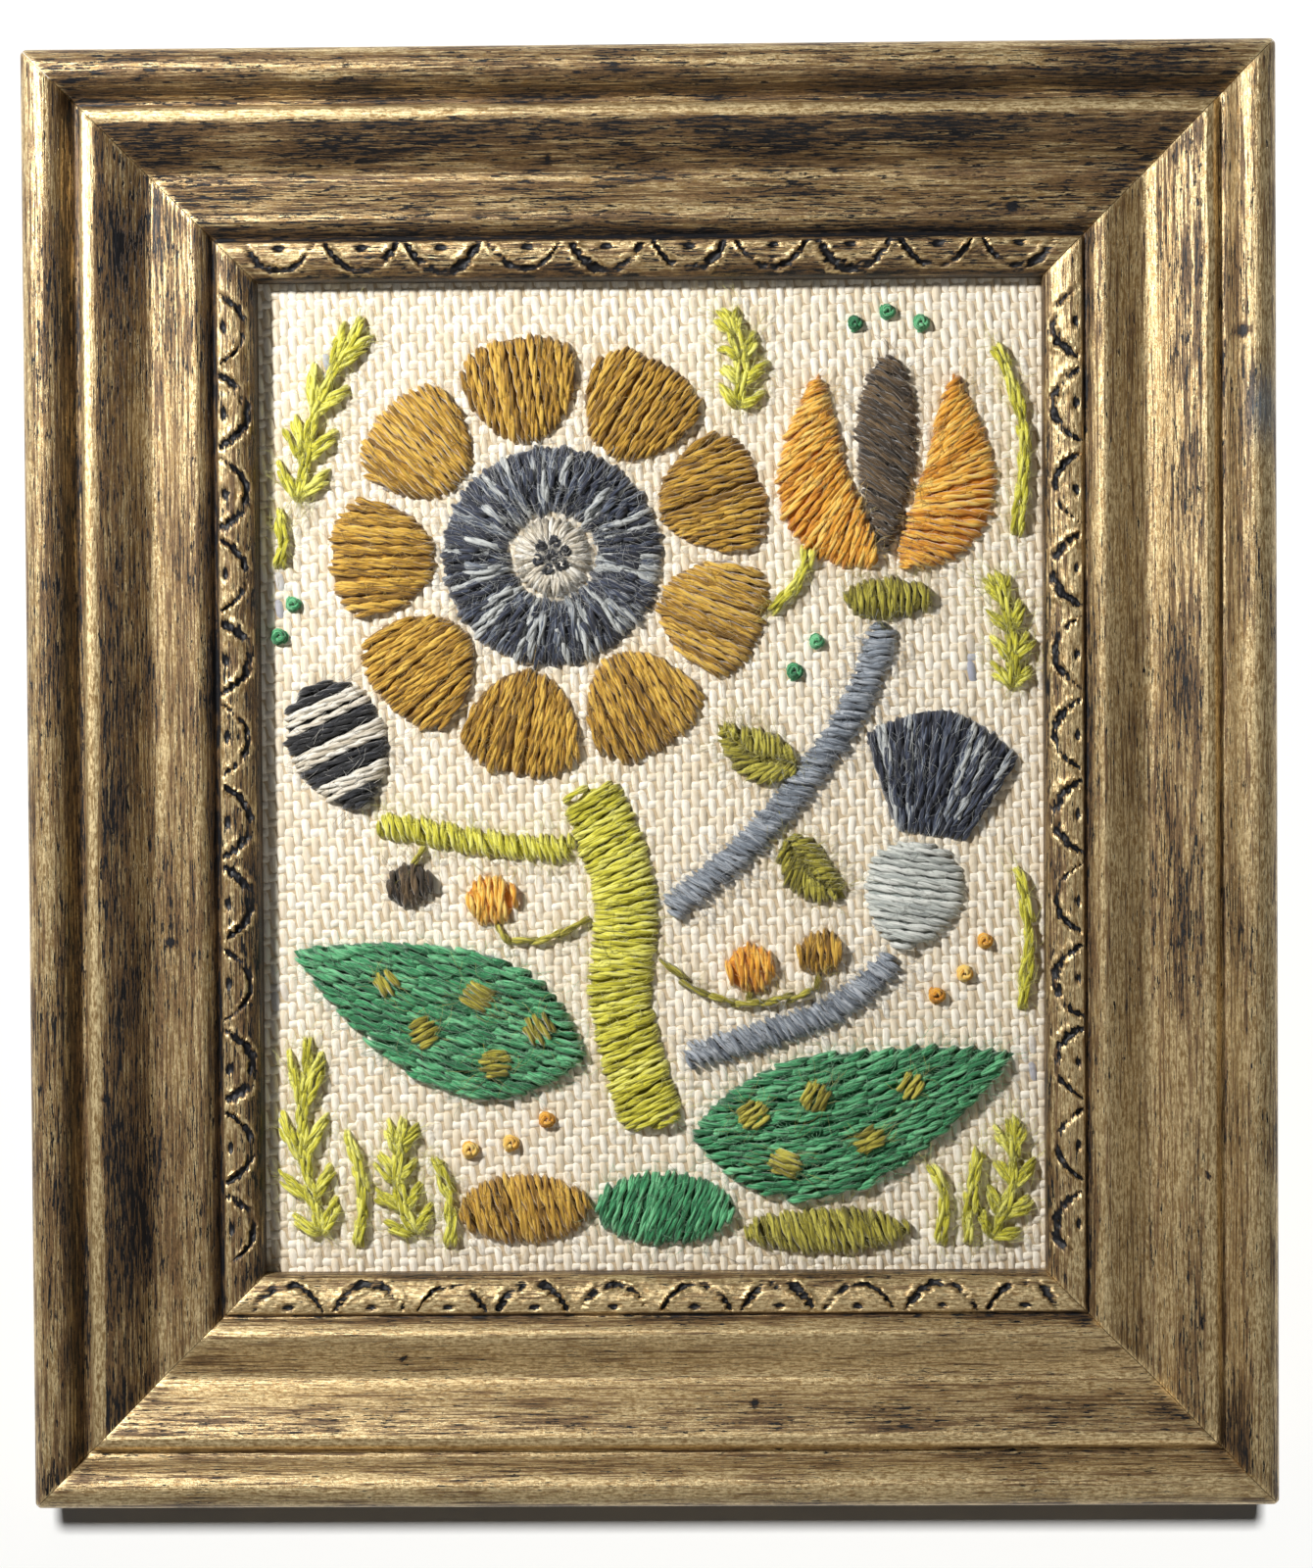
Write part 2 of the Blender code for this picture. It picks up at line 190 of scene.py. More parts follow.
def arc(start, end, sagitta, divisions):
    """Points from start up to, but without, end, on an arc that bulges to the left by sagitta."""
    first, last = np.array(start, float), np.array(end, float)
    shares = np.arange(divisions)[:, None] / divisions
    if sagitta == 0.0:
        return first + (last - first) * shares
    chord = last - first
    half = np.hypot(*chord) / 2
    radius = (half**2 + sagitta**2) / (2 * sagitta)
    left = np.array([-chord[1], chord[0]]) / (2 * half)
    centre = (first + last) / 2 + left * (sagitta - radius)
    turn = 2 * math.asin(min(1.0, half / abs(radius))) * math.copysign(1, radius)
    spoke = first - centre
    angle = -turn * shares
    return centre + np.hstack([
        spoke[0] * np.cos(angle) - spoke[1] * np.sin(angle),
        spoke[0] * np.sin(angle) + spoke[1] * np.cos(angle),
    ])


def stretch_points(rows, end):
    """The points of a run of section rows, up to but without the end point."""
    corners = [row[:2] for row in rows] + [end]
    return np.vstack([arc(row[:2], after, row[2], row[3]) for row, after in zip(rows, corners[1:])])


# Meshes


def make_piece(name, points, faces, material, attributes=None, face_material=None, smooth=True):
    """An object from arrays in millimetres. faces has an array for each corner count."""
    mesh = bpy.data.meshes.new(name)
    mesh.vertices.add(len(points))
    mesh.vertices.foreach_set("co", (np.asarray(points) * MM).astype(np.float32).ravel())
    corners = np.concatenate([f.ravel() for f in faces])
    totals = np.concatenate([np.full(len(f), f.shape[1]) for f in faces])
    starts = np.concatenate([[0], np.cumsum(totals)[:-1]])
    mesh.loops.add(len(corners))
    mesh.loops.foreach_set("vertex_index", corners.astype(np.int32))
    mesh.polygons.add(len(totals))
    mesh.polygons.foreach_set("loop_start", starts.astype(np.int32))
    mesh.polygons.foreach_set("loop_total", totals.astype(np.int32))
    mesh.polygons.foreach_set("use_smooth", np.full(len(totals), smooth))
    for one in material if isinstance(material, (list, tuple)) else [material]:
        mesh.materials.append(one)
    if face_material is not None:
        mesh.polygons.foreach_set("material_index", face_material.astype(np.int32))
    mesh.update(calc_edges=True)
    for key, values in (attributes or {}).items():
        values = np.asarray(values, np.float32)
        kind = "FLOAT_VECTOR" if values.ndim == 2 else "FLOAT"
        made = mesh.attributes.new(key, kind, "POINT")
        made.data.foreach_set("vector" if values.ndim == 2 else "value", values.ravel())
    piece = bpy.data.objects.new(name, mesh)
    bpy.context.scene.collection.objects.link(piece)
    return piece


def finish_piece(piece, replaced=()):
    """The piece rides on the body and stands for the solids that it replaces."""
    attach(piece, "root")
    if replaced:
        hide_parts(*replaced)


# Materials


def linear(red, green, blue):
    """A colour as the screen shows it, from 0 to 255, as Blender's linear values."""
    shown = np.array([red, green, blue]) / 255
    values = np.where(shown <= 0.04045, shown / 12.92, ((shown + 0.055) / 1.055) ** 2.4)
    return (*(float(v) for v in values), 1.0)


def add_node(tree, kind, settings=None, **inputs):
    """A node with its inputs linked or set. An underscore in an input's name is a space."""
    made = tree.nodes.new(kind)
    for key, value in (settings or {}).items():
        setattr(made, key, value)
    for key, value in inputs.items():
        socket = made.inputs[int(key[1:])] if key[1:].isdigit() else made.inputs[key.replace("_", " ")]
        if isinstance(value, bpy.types.NodeSocket):
            tree.links.new(value, socket)
        else:
            socket.default_value = value
    return made


def new_material(name):
    material = bpy.data.materials.new(name)
    material.use_nodes = True
    return material, material.node_tree, material.node_tree.nodes["Principled BSDF"]


def attribute(tree, name, vector=False):
    made = add_node(tree, "ShaderNodeAttribute", {"attribute_name": name})
    return made.outputs["Vector" if vector else "Fac"]


def noise(tree, places, scale, detail=2.0, roughness=0.5):
    """Noise whose grain is scale cells to the millimetre along each of the three directions."""
    stretched = add_node(tree, "ShaderNodeVectorMath", {"operation": "MULTIPLY"}, _0=places, _1=scale)
    settings = {"Vector": stretched.outputs[0], "Scale": 1.0, "Detail": detail, "Roughness": roughness}
    return add_node(tree, "ShaderNodeTexNoise", **settings).outputs["Fac"]


def maths(tree, operation, first, second, third=0.0):
    made = add_node(tree, "ShaderNodeMath", {"operation": operation}, _0=first, _1=second, _2=third)
    return made.outputs[0]


def weighted(tree, *pairs):
    """The sum of sockets times weights."""
    total = 0.0
    for socket, weight in pairs:
        total = maths(tree, "MULTIPLY_ADD", socket, weight, total)
    return total


def ramp_between(tree, value, low, high, to_low=0.0, to_high=1.0):
    """A smooth step from to_low to to_high while the value goes from low to high."""
    ends = {"From_Min": low, "From_Max": high, "To_Min": to_low, "To_Max": to_high}
    smooth = {"interpolation_type": "SMOOTHSTEP"}
    made = add_node(tree, "ShaderNodeMapRange", smooth, Value=value, **ends)
    return made.outputs["Result"]


def blend_colours(tree, share, first, second):
    made = add_node(tree, "ShaderNodeMix", {"data_type": "RGBA"}, _0=share, _6=first, _7=second)
    return made.outputs[2]


def finish_material(tree, shader, colour, height, strength, depth, **sockets):
    """Links a colour and a bump, whose depth is in millimetres, and sets the shader's other sockets."""
    tree.links.new(colour, shader.inputs["Base Color"])
    bump = add_node(tree, "ShaderNodeBump", Strength=strength, Distance=depth * MM, Height=height)
    tree.links.new(bump.outputs[0], shader.inputs["Normal"])
    for key, value in sockets.items():
        shader.inputs[key.replace("_", " ")].default_value = value


def gold_material():
    """Gold paint brushed over black and brown, in fine streaks along each rail."""
    material, tree, shader = new_material("antique_gold")
    grain = attribute(tree, "grain", vector=True)
    # dark holds the dark paint and also the painted shade and painted highlights of the section and of
    # each rail; worn and cracked carry them into the brown, the black and the metal
    dark = attribute(tree, "dark")
    # stamp holds the stamps' dark paint and a painted highlight on their raised lips
    stamp = attribute(tree, "stamp")
    blue = attribute(tree, "blue_rub")
    fine = noise(tree, grain, (0.12, 3.2, 1.0), 5.0, 0.72)
    crack = noise(tree, grain, (0.45, 5.0, 1.0), 3.0, 0.6)
    broad = noise(tree, grain, (0.05, 1.0, 1.0), 2.0)
    blotch = noise(tree, grain, (0.08, 0.18, 1.0), 4.0)
    fleck = noise(tree, grain, (1.3, 3.4, 1.0), 4.0, 0.7)
    spread = (fine, 1.2), (broad, 0.4), (blotch, 0.3), (fleck, 0.5), (dark, 0.24), (stamp, 0.3)
    worn = weighted(tree, *spread)
    spread = (crack, 1.0), (fine, 0.3), (blotch, 0.35), (fleck, 0.3), (dark, 0.16), (stamp, 0.6)
    cracked = weighted(tree, *spread)
    under = ramp_between(tree, worn, 1.22, 1.34)
    black = ramp_between(tree, cracked, 1.11, 1.15)
    smooth = ramp_between(tree, dark, -0.9, -0.55, 0.15, 1.0)
    tint = ramp_between(tree, weighted(tree, (crack, 0.4), (fleck, 0.6)), 0.4, 0.6)
    gold = blend_colours(tree, tint, linear(163, 132, 86), linear(248, 226, 175))
    brown = blend_colours(tree, tint, linear(84, 64, 42), linear(137, 107, 71))
    painted = blend_colours(tree, under, gold, brown)
    painted = blend_colours(tree, black, painted, linear(25, 26, 31))
    painted = blend_colours(tree, blue, painted, linear(112, 130, 146))
    tree.links.new(ramp_between(tree, worn, 1.2, 1.36, 0.6, 0.2), shader.inputs["Metallic"])
    rough = weighted(tree, (fleck, 0.3), (under, 0.1))
    tree.links.new(maths(tree, "ADD", rough, 0.22), shader.inputs["Roughness"])
    relief = maths(tree, "MULTIPLY", weighted(tree, (fine, 0.9), (fleck, 0.5), (black, -0.5)), smooth)
    finish_material(tree, shader, painted, relief, 1.0, 0.1)
    return material


def raw_wood_material():
    """The bare wood of the frame's back."""
    material, tree, shader = new_material("raw_wood")
    grain = attribute(tree, "grain", vector=True)
    rings = noise(tree, grain, (0.02, 0.6, 1.0), 4.0, 0.6)
    pores = noise(tree, grain, (0.3, 6.0, 1.0), 3.0)
    share = ramp_between(tree, weighted(tree, (rings, 0.7), (pores, 0.3)), 0.35, 0.65)
    colour = blend_colours(tree, share, linear(150, 116, 78), linear(196, 164, 120))
    finish_material(tree, shader, colour, pores, 0.4, 0.1, Roughness=0.75)
    return material


def board_material():
    """Cloudy brown fibreboard."""
    material, tree, shader = new_material("fibreboard")
    places = add_node(tree, "ShaderNodeTexCoord").outputs["Object"]
    millimetres = add_node(tree, "ShaderNodeVectorMath", {"operation": "SCALE"}, _0=places, Scale=1 / MM)
    fibres = noise(tree, millimetres.outputs[0], (0.8, 0.9, 0.8), 5.0, 0.65)
    cloudy = noise(tree, millimetres.outputs[0], (0.05, 0.04, 0.05), 3.0)
    share = ramp_between(tree, weighted(tree, (fibres, 0.6), (cloudy, 0.4)), 0.35, 0.65)
    colour = blend_colours(tree, share, linear(104, 78, 54), linear(146, 114, 82))
    finish_material(tree, shader, colour, fibres, 0.5, 0.1, Roughness=0.85)
    return material


def cotton_material(name, low, high):
    """Twill threads: cream fibres with a tone for each float."""
    material, tree, shader = new_material(name)
    fibre = attribute(tree, "fibre", vector=True)
    tone = attribute(tree, "tone")
    ink = attribute(tree, "ink")
    streak = noise(tree, fibre, (0.8, 7.0, 7.0), 3.0, 0.6)
    share = ramp_between(tree, weighted(tree, (streak, 0.8), (tone, 0.3)), 0.38, 0.72)
    colour = blend_colours(tree, share, low, high)
    colour = blend_colours(tree, ink, colour, linear(120, 136, 172))
    sockets = {"Roughness": 0.95, "Sheen_Weight": 0.25, "Sheen_Roughness": 0.5}
    finish_material(tree, shader, colour, streak, 0.5, 0.06, **sockets)
    return material


# Wool: the colours from a stitch's darkest fibres to its lightest
WOOLS = {
    "mustard": ((112, 78, 6), (190, 142, 28), (236, 196, 86)),
    "slate": ((24, 29, 44), (60, 70, 96), (112, 122, 136), (204, 208, 206)),
    "grey": ((88, 96, 108), (138, 148, 160), (194, 200, 208)),
    "pale_grey": ((164, 171, 168), (210, 215, 208), (241, 243, 237)),
    "chartreuse": ((156, 150, 14), (222, 216, 54), (249, 247, 134)),
    "olive": ((98, 90, 10), (164, 154, 34), (212, 204, 88)),
    "emerald": ((18, 95, 56), (54, 154, 96), (134, 215, 158)),
    "orange": ((194, 120, 14), (245, 176, 42), (255, 222, 122)),
    "brown": ((30, 22, 12), (74, 56, 32), (122, 98, 64)),
    "black": ((8, 9, 13), (20, 22, 29), (58, 62, 72)),
    "cream": ((178, 166, 144), (232, 224, 206), (252, 249, 240)),
}

# Where the colours stand on their ramp, by how many they are
COLOUR_STOPS = {3: (0.0, 0.5, 1.0), 4: (0.0, 0.4, 0.66, 1.0)}


def wool_material(name):
    """Matt wool: fibres along each ply, and a tone for each stitch."""
    material, tree, shader = new_material("wool_" + name)
    fibre = attribute(tree, "fibre", vector=True)
    tone = attribute(tree, "tone")
    streak = noise(tree, fibre, (0.35, 5.0, 5.0), 3.0, 0.65)
    soft = noise(tree, fibre, (0.25, 1.2, 1.2), 2.0)
    spread = weighted(tree, (streak, 1.5), (soft, 0.5), (tone, 0.55))
    share = ramp_between(tree, spread, 0.98, 1.58)
    colours = add_node(tree, "ShaderNodeValToRGB", Fac=share)
    stops = colours.color_ramp.elements
    shown = WOOLS[name]
    stops[0].color, stops[1].color = linear(*shown[0]), linear(*shown[-1])
    for at, colour in list(zip(COLOUR_STOPS[len(shown)], shown))[1:-1]:
        stops.new(at).color = linear(*colour)
    sockets = {"Roughness": 0.7, "Specular_IOR_Level": 0.4, "Sheen_Weight": 0.6, "Sheen_Roughness": 0.5}
    finish_material(tree, shader, colours.outputs[0], streak, 0.9, 0.16, **sockets)
    return material


# The frame


def ragged(x, y):
    """An uneven value from about -1 to 1 at each place, that changes over half a millimetre or more."""
    return (
        np.sin(3.1 * x + 1.7 * y + 1.3)
        + np.sin(5.3 * y - 2.2 * x + 0.4 * np.sin(1.1 * x))
        + np.sin(6.7 * x - 3.9 * y + 2.1)
        + np.sin(0.9 * x + 7.9 * y)
    ) / 3


def crescent_relief(along, inset, crescents, turn):
    """The stamp's depth, and its dark paint in the groove and dot with a painted highlight on the raised
    lip, at each place of the band.
    """
    number = np.clip(np.round(along / CRESCENT_PITCH + (crescents - 1) / 2), 0, crescents - 1)
    offset = along - (number - (crescents - 1) / 2) * CRESCENT_PITCH
    uneven = np.sin(number * 2.4 + turn)
    rough = ragged(along + 31 * turn, inset)
    reach = np.clip(np.abs(offset) / CRESCENT_HALF_SPAN, 0, 1.3)
    middle = CRESCENT_INSET + 0.12 * uneven - CRESCENT_RISE * reach**2.4
    swing = np.clip(offset / CRESCENT_HALF_SPAN, -1, 1) * np.cos(1.7 * number)
    heavier = 1 + 0.25 * uneven - 0.35 * swing
    stroke = (STROKE_MIDDLE + (STROKE_END - STROKE_MIDDLE) * reach**1.5) * heavier
    fades = np.clip((1.1 - reach + 0.08 * rough) / 0.1, 0, 1)
    across = (inset - middle) / stroke + 0.65 * rough
    groove = fades / (1 + np.abs(across) ** 6)
    wave = np.sin(offset * 0.8 + number * 1.9 + turn) + 0.8 * np.sin(offset * 2.3 - number * 2.7)
    worn = np.clip(0.25 + 0.6 * reach + 0.35 * wave + 0.35 * rough, 0.05, 1)
    lip = np.exp(-((np.abs(across) - 1.8) ** 2) / 0.3) * fades * worn
    spread = ((offset - 0.3 * uneven) / DOT_LENGTH) ** 2 + ((inset - DOT_INSET) / DOT_WIDTH) ** 2
    dot = 1 / (1 + (spread + 0.4 * rough).clip(0) ** 2.5)
    in_band = np.clip((inset - BAND_START[0]) / BAND_FADE, 0, 1)
    in_band = in_band * np.clip((RAIL_WIDTH - BAND_EDGE - inset) / BAND_FADE, 0, 1)
    past_last = crescents * CRESCENT_PITCH / 2 - np.abs(along)
    in_band = in_band * np.clip(past_last / END_FADE, 0.15, 1)
    depth = CRESCENT_DEPTH * groove * worn + DOT_DEPTH * dot - LIP_RISE * lip + PITTING * rough
    # The groove and dot take dark paint; the raised lip's negative share is a painted highlight.
    groove_paint_and_lip_highlight = np.clip(0.9 * groove * worn + 0.7 * dot - lip, -0.8, 1)
    return depth * in_band, groove_paint_and_lip_highlight * in_band


def soften(line):
    """Rounds a section by averaging each point with its neighbours, most of all in the hollow."""
    for turn in range(HOLLOW_SOFTENING):
        chosen = np.full(len(line), turn < EDGE_SOFTENING)
        chosen |= (line[:, 0] > HOLLOW[0]) & (line[:, 0] < HOLLOW[1])
        chosen[[0, -1]] = False
        average = line.copy()
        average[1:-1] = 0.5 * line[1:-1] + 0.25 * (line[:-2] + line[2:])
        line[chosen] = average[chosen]
    return line


def round_corner(edge, inset):
    """Draws the points near the frame's outer corner onto arcs round one centre."""
    size = np.clip(CORNER_RADIUS - inset, 1e-6, None)
    angle = math.pi / 4 * (1 - np.clip((edge - inset) / size, 0, 1))
    near = (inset < CORNER_RADIUS) & (edge < CORNER_RADIUS)
    new_edge = np.where(near, CORNER_RADIUS - size * np.sin(angle), edge)
    new_inset = np.where(near, CORNER_RADIUS - size * np.cos(angle), inset)
    return new_edge, new_inset


def near(x, y, place_x, place_y, reach_x, reach_y):
    """1 at a place, and less and less round it."""
    return np.exp(-(((x - place_x) / reach_x) ** 2) - ((y - place_y) / reach_y) ** 2)


def rail_piece(name, length, crescents, turn, place, painted_rail_shade, materials):
    """One rail: its section, finely divided, along the whole length, with the stamped band."""
    face = soften(stretch_points(MOULDING_FACE, MOULDING_BACK[0][:2]))
    back = stretch_points(MOULDING_BACK, MOULDING_FACE[0][:2])
    section = np.vstack([face, back])
    inset, height = section.T
    travelled = np.concatenate([[0], np.cumsum(np.hypot(*np.diff(section, axis=0).T))])
    stamped = (np.arange(len(section)) < len(face)) & (inset > BAND_START[0] - 0.2)
    stamped &= height > CRESCENT_LOWEST

    shares = np.linspace(-1, 1, RAIL_STEPS + 1)
    reach = length / 2 - inset - MITRE_GAP / math.sqrt(2)
    along = shares[:, None] * reach
    depth, groove_paint_and_lip_highlight = crescent_relief(along, inset, crescents, turn)
    from_end = (1 - np.abs(shares))[:, None] * reach
    rounding = MITRE_ROUNDING * np.exp(-from_end / MITRE_REACH)
    wander = WANDER * np.sin(along * 0.21 + turn * 3) * np.sin(inset * 0.9 + turn)
    on_face = np.clip((height - 2.0) / 3.0, 0, 1) * (inset < RAIL_WIDTH - 0.05)
    rise = height - depth * stamped - (rounding + wander) * on_face
    sideways = np.broadcast_to(inset, along.shape)

    cos, sin = math.cos(turn), math.sin(turn)
    edge, inward = round_corner(length / 2 - np.abs(along), sideways)
    lengthwise = np.sign(along) * (length / 2 - edge)
    x = place[0] + cos * lengthwise - sin * inward
    y = place[1] + sin * lengthwise + cos * inward
    points = np.stack([x, y, rise], -1).reshape(-1, 3)

    rows, columns = along.shape
    index = np.arange(rows * columns).reshape(rows, columns)
    here, after = index[:-1], index[1:]
    quads = np.stack([here, after, np.roll(after, -1, 1), np.roll(here, -1, 1)], -1).reshape(-1, 4)
    caps = np.stack([index[0], index[-1][::-1]])
    back_face = np.tile(np.arange(columns) >= len(face), rows - 1)
    face_material = np.concatenate([back_face.astype(int), np.ones(2, int)])

    # The painted rail shade spares the outer sides. Dark paint is thinner right at the mitre, and heavier
    # a little way from it.
    dark = np.interp(sideways, *np.array(DARK_PAINT_SHADE_AND_HIGHLIGHT).T) + painted_rail_shade * np.clip((inset - 0.6) / 0.8, 0, 1)
    dark = dark - 0.5 * np.exp(-from_end / 0.35) + 0.2 * np.exp(-(((from_end - 1.6) / 1.2) ** 2))
    for spot_x, spot_y, size, strength in DARK_SPOTS:
        dark = dark + SPOT_STRENGTH * strength * near(x, y, spot_x, spot_y, size, size)
    for *area, strength in SOOT:
        dark = dark + strength * near(x, y, *area)
    rub = RUB_STRENGTH * near(x, y, *BLUE_RUB)
    down = np.broadcast_to(travelled, along.shape)
    grain = np.stack([along, down, np.full(along.shape, GRAIN_SHIFT * turn)], -1).reshape(-1, 3)
    paints = {"dark": dark.ravel(), "stamp": (groove_paint_and_lip_highlight * stamped).ravel(), "blue_rub": rub.ravel()}

    piece = make_piece(name, points, [quads, caps], materials, {"grain": grain, **paints}, face_material)
    piece.data.set_sharp_from_angle(angle=math.radians(SHARP_ANGLE))
    return piece


def frame_pieces():
    """The four rails, each with its length, crescents, turn and the middle of its outer side."""
    materials = [gold_material(), raw_wood_material()]
    half_width, half_length = OUTER_WIDTH / 2, OUTER_LENGTH / 2
    rows = (
        ("rail_bottom", OUTER_WIDTH, "short", 0.0, (0.0, -half_length)),
        ("rail_right", OUTER_LENGTH, "long", math.pi / 2, (half_width, 0.0)),
        ("rail_top", OUTER_WIDTH, "short", math.pi, (0.0, half_length)),
        ("rail_left", OUTER_LENGTH, "long", -math.pi / 2, (-half_width, 0.0)),
    )
    for node, length, kind, turn, place in rows:
        crescents = CRESCENTS[kind]
        piece = rail_piece("gilded_" + node, length, crescents, turn, place, PAINTED_RAIL_SHADE[node], materials)
        finish_piece(piece, [node])


# The stitched shapes, as in the solids: name, wool, outline, width, height, and the middle line's points

ROSETTE_CENTRE = (-12.0, 27.0)
EYE_RADIUS = 4.6
RING_INNER = 5.2
RING_OUTER = 13.6
PETAL_INNER = 14.2
PETAL_OUTER = 27.0
PETAL_WIDTH = 14.2
PETALS = 9
EYE_HEIGHT = 1.7

MOTIFS = (
    ("main_stem", "chartreuse", "band", 7.6, 1.8,
     ((0.0, -43.0), (-4.0, -28.0), (-3.4, -14.0), (-7.8, -1.2))),
    ("tulip_left", "orange", "leaf", 9.2, 1.7, ((27.2, 25.6), (20.2, 34.0), (20.6, 49.0))),
    ("tulip_right", "orange", "leaf", 9.2, 1.7, ((30.4, 25.6), (37.4, 34.0), (37.0, 49.0))),
    ("tulip_heart", "brown", "petal", 7.2, 1.8, ((28.8, 27.4), (28.8, 51.0))),
    ("tulip_calyx", "olive", "oval", 5.0, 1.7, ((23.4, 21.6), (34.2, 21.6))),
    ("tulip_stem", "grey", "band", 3.4, 1.6, ((28.6, 18.4), (24.0, 7.0), (13.0, -7.0), (1.8, -16.4))),
    ("stem_leaf_low", "olive", "leaf", 6.0, 1.4, ((16.2, -7.6), (19.4, -12.0), (23.6, -15.0))),
    ("stem_leaf_high", "olive", "leaf", 6.0, 1.4, ((17.8, 1.4), (12.6, 2.6), (8.0, 6.4))),
    ("thistle_calyx", "pale_grey", "egg", 12.0, 1.9, ((30.2, -21.0), (33.2, -8.2))),
    ("thistle_fan", "slate", "fan", 20.0, 1.9, ((33.6, -7.4), (36.0, 8.0))),
    ("thistle_stem", "grey", "band", 3.2, 1.6, ((29.6, -22.4), (21.0, -29.0), (3.8, -34.4))),
    ("leaf_right", "emerald", "leaf", 17.6, 1.9, ((4.6, -43.8), (22.0, -42.4), (44.0, -34.0))),
    ("leaf_left", "emerald", "leaf", 18.0, 1.9, ((-8.6, -34.4), (-24.0, -29.4), (-44.0, -21.0))),
    ("bud_stem", "chartreuse", "band", 3.0, 1.5, ((-9.6, -8.8), (-20.0, -8.0), (-33.6, -5.4))),
    ("striped_bud", "black", "egg", 12.0, 1.9, ((-35.6, -3.6), (-40.8, 11.8))),
    ("fern_top_left", "chartreuse", "fern", 8.0, 1.3, ((-42.8, 34.0), (-40.6, 45.0), (-34.8, 56.0))),
    ("fern_top", "chartreuse", "fern", 6.8, 1.3, ((10.8, 45.0), (11.4, 51.0), (8.8, 57.0))),
    ("fern_right", "chartreuse", "fern", 6.2, 1.3, ((44.0, 10.6), (43.8, 18.0), (41.6, 25.0))),
    ("fern_low_left", "chartreuse", "fern", 8.4, 1.3, ((-40.6, -55.8), (-43.0, -46.0), (-42.4, -31.6))),
    ("fern_inner_left", "chartreuse", "fern", 7.8, 1.3, ((-29.4, -55.8), (-31.6, -49.0), (-30.6, -41.4))),
    ("fern_low_right", "chartreuse", "fern", 7.2, 1.3, ((41.0, -56.6), (43.8, -50.0), (43.4, -41.6))),
    ("mound_left", "mustard", "oval", 8.2, 1.8, ((-23.8, -52.8), (-8.0, -52.8))),
    ("mound_middle", "emerald", "oval", 8.8, 1.8, ((-7.2, -52.8), (9.6, -52.8))),
    ("mound_right", "olive", "oval", 5.4, 1.6, ((11.0, -55.6), (31.0, -55.6))),
    ("berry_high", "orange", "oval", 6.0, 1.7, ((9.0, -23.4), (15.0, -23.4))),
    ("berry_low", "mustard", "oval", 5.4, 1.7, ((17.8, -21.6), (23.2, -21.6))),
    ("berry_left", "orange", "oval", 6.0, 1.7, ((-22.8, -15.0), (-16.8, -15.0))),
    ("berry_outer", "brown", "oval", 5.4, 1.7, ((-32.4, -13.0), (-27.0, -13.0))),
)

LINE_SAMPLES = 240


def oval(share):
    return np.sqrt(np.clip(1 - (2 * share - 1) ** 2, 0, 1))


OUTLINES = {
    "oval": oval,
    "egg": lambda share: oval(share**1.25),
    "leaf": lambda share: np.clip(np.sin(math.pi * share**0.85), 0, 1) ** 0.85,
    "petal": lambda share: np.clip(np.sin(math.pi * share**1.3), 0, 1) ** 0.55,
    "round_petal": lambda share: np.clip(np.sin(math.pi * share**1.3), 0, 1) ** 0.35,
    "band": lambda share: np.sqrt(1 - (1 - np.clip(np.minimum(share, 1 - share) / 0.04, 0, 1)) ** 2),
    "fan": lambda share: (0.42 + 0.58 * np.clip(share / 0.75, 0, 1))
    * np.clip(share / 0.06, 0, 1) ** 0.5
    * np.clip((1 - share) / 0.3, 0, 1) ** 0.6,
    "fern": lambda share: (0.42 + 0.58 * np.abs(np.sin(math.pi * 4 * share)))
    * (1 - 0.45 * share)
    * oval(share) ** 0.4,
}


class Shape:
    """A stitched area round a middle line. A place is a share of the length and a side, -1 to 1."""

    def __init__(self, name, wool, outline, width, height, points):
        self.name = name
        self.wool = wool
        self.outline = OUTLINES[outline]
        self.kind = outline
        self.half = width / 2
        self.height = height
        line = np.array(points, float)
        line = np.vstack([2 * line[0] - line[1], line, 2 * line[-1] - line[-2]])
        stretches = len(line) - 3
        at = np.minimum(np.linspace(0, stretches, LINE_SAMPLES), stretches - 1e-9)
        k = at.astype(int)
        t = (at - k)[:, None]
        a, b, c, d = line[k], line[k + 1], line[k + 2], line[k + 3]
        bend, twist = 2 * a - 5 * b + 4 * c - d, 3 * b - a - 3 * c + d
        self.places = 0.5 * (2 * b + (c - a) * t + bend * t**2 + twist * t**3)
        slope = np.gradient(self.places, axis=0)
        steps = np.hypot(*np.diff(self.places, axis=0).T)
        self.directions = slope / np.hypot(*slope.T)[:, None]
        self.shares = np.linspace(0, 1, LINE_SAMPLES)
        self.travelled = np.concatenate([[0], np.cumsum(steps)])
        self.length = self.travelled[-1]

    def middle(self, share):
        """The middle line's place and the direction across it, to the left."""
        place = np.array([np.interp(share, self.shares, self.places[:, i]) for i in (0, 1)])
        way = np.array([np.interp(share, self.shares, self.directions[:, i]) for i in (0, 1)])
        way = way / np.hypot(*way)
        return place, np.array([-way[1], way[0]])

    def half_width(self, share):
        return self.half * float(self.outline(np.clip(share, 0.0, 1.0)))

    def at(self, share, side, past=0.0):
        """The place at a share and a side, or as far past it as the last value says."""
        share = min(max(share, 0.0), 1.0)
        place, across = self.middle(share)
        return place + across * side * (self.half_width(share) + past)

    def share_at(self, distance):
        return float(np.interp(distance, self.travelled, self.shares))

    def covers(self, points, margin):
        """Whether each point lies inside the outline by at least margin."""
        apart = points[:, None] - self.places[None, ::3]
        nearest = np.hypot(*apart.transpose(2, 0, 1)).argmin(1)
        apart = apart[np.arange(len(points)), nearest]
        way = self.directions[::3][nearest]
        side = np.abs(apart[:, 1] * way[:, 0] - apart[:, 0] * way[:, 1])
        travelled = self.travelled[::3][nearest]
        within = (travelled > margin) & (travelled < self.length - margin)
        return within & (side < self.half * self.outline(self.shares[::3][nearest]) - margin)


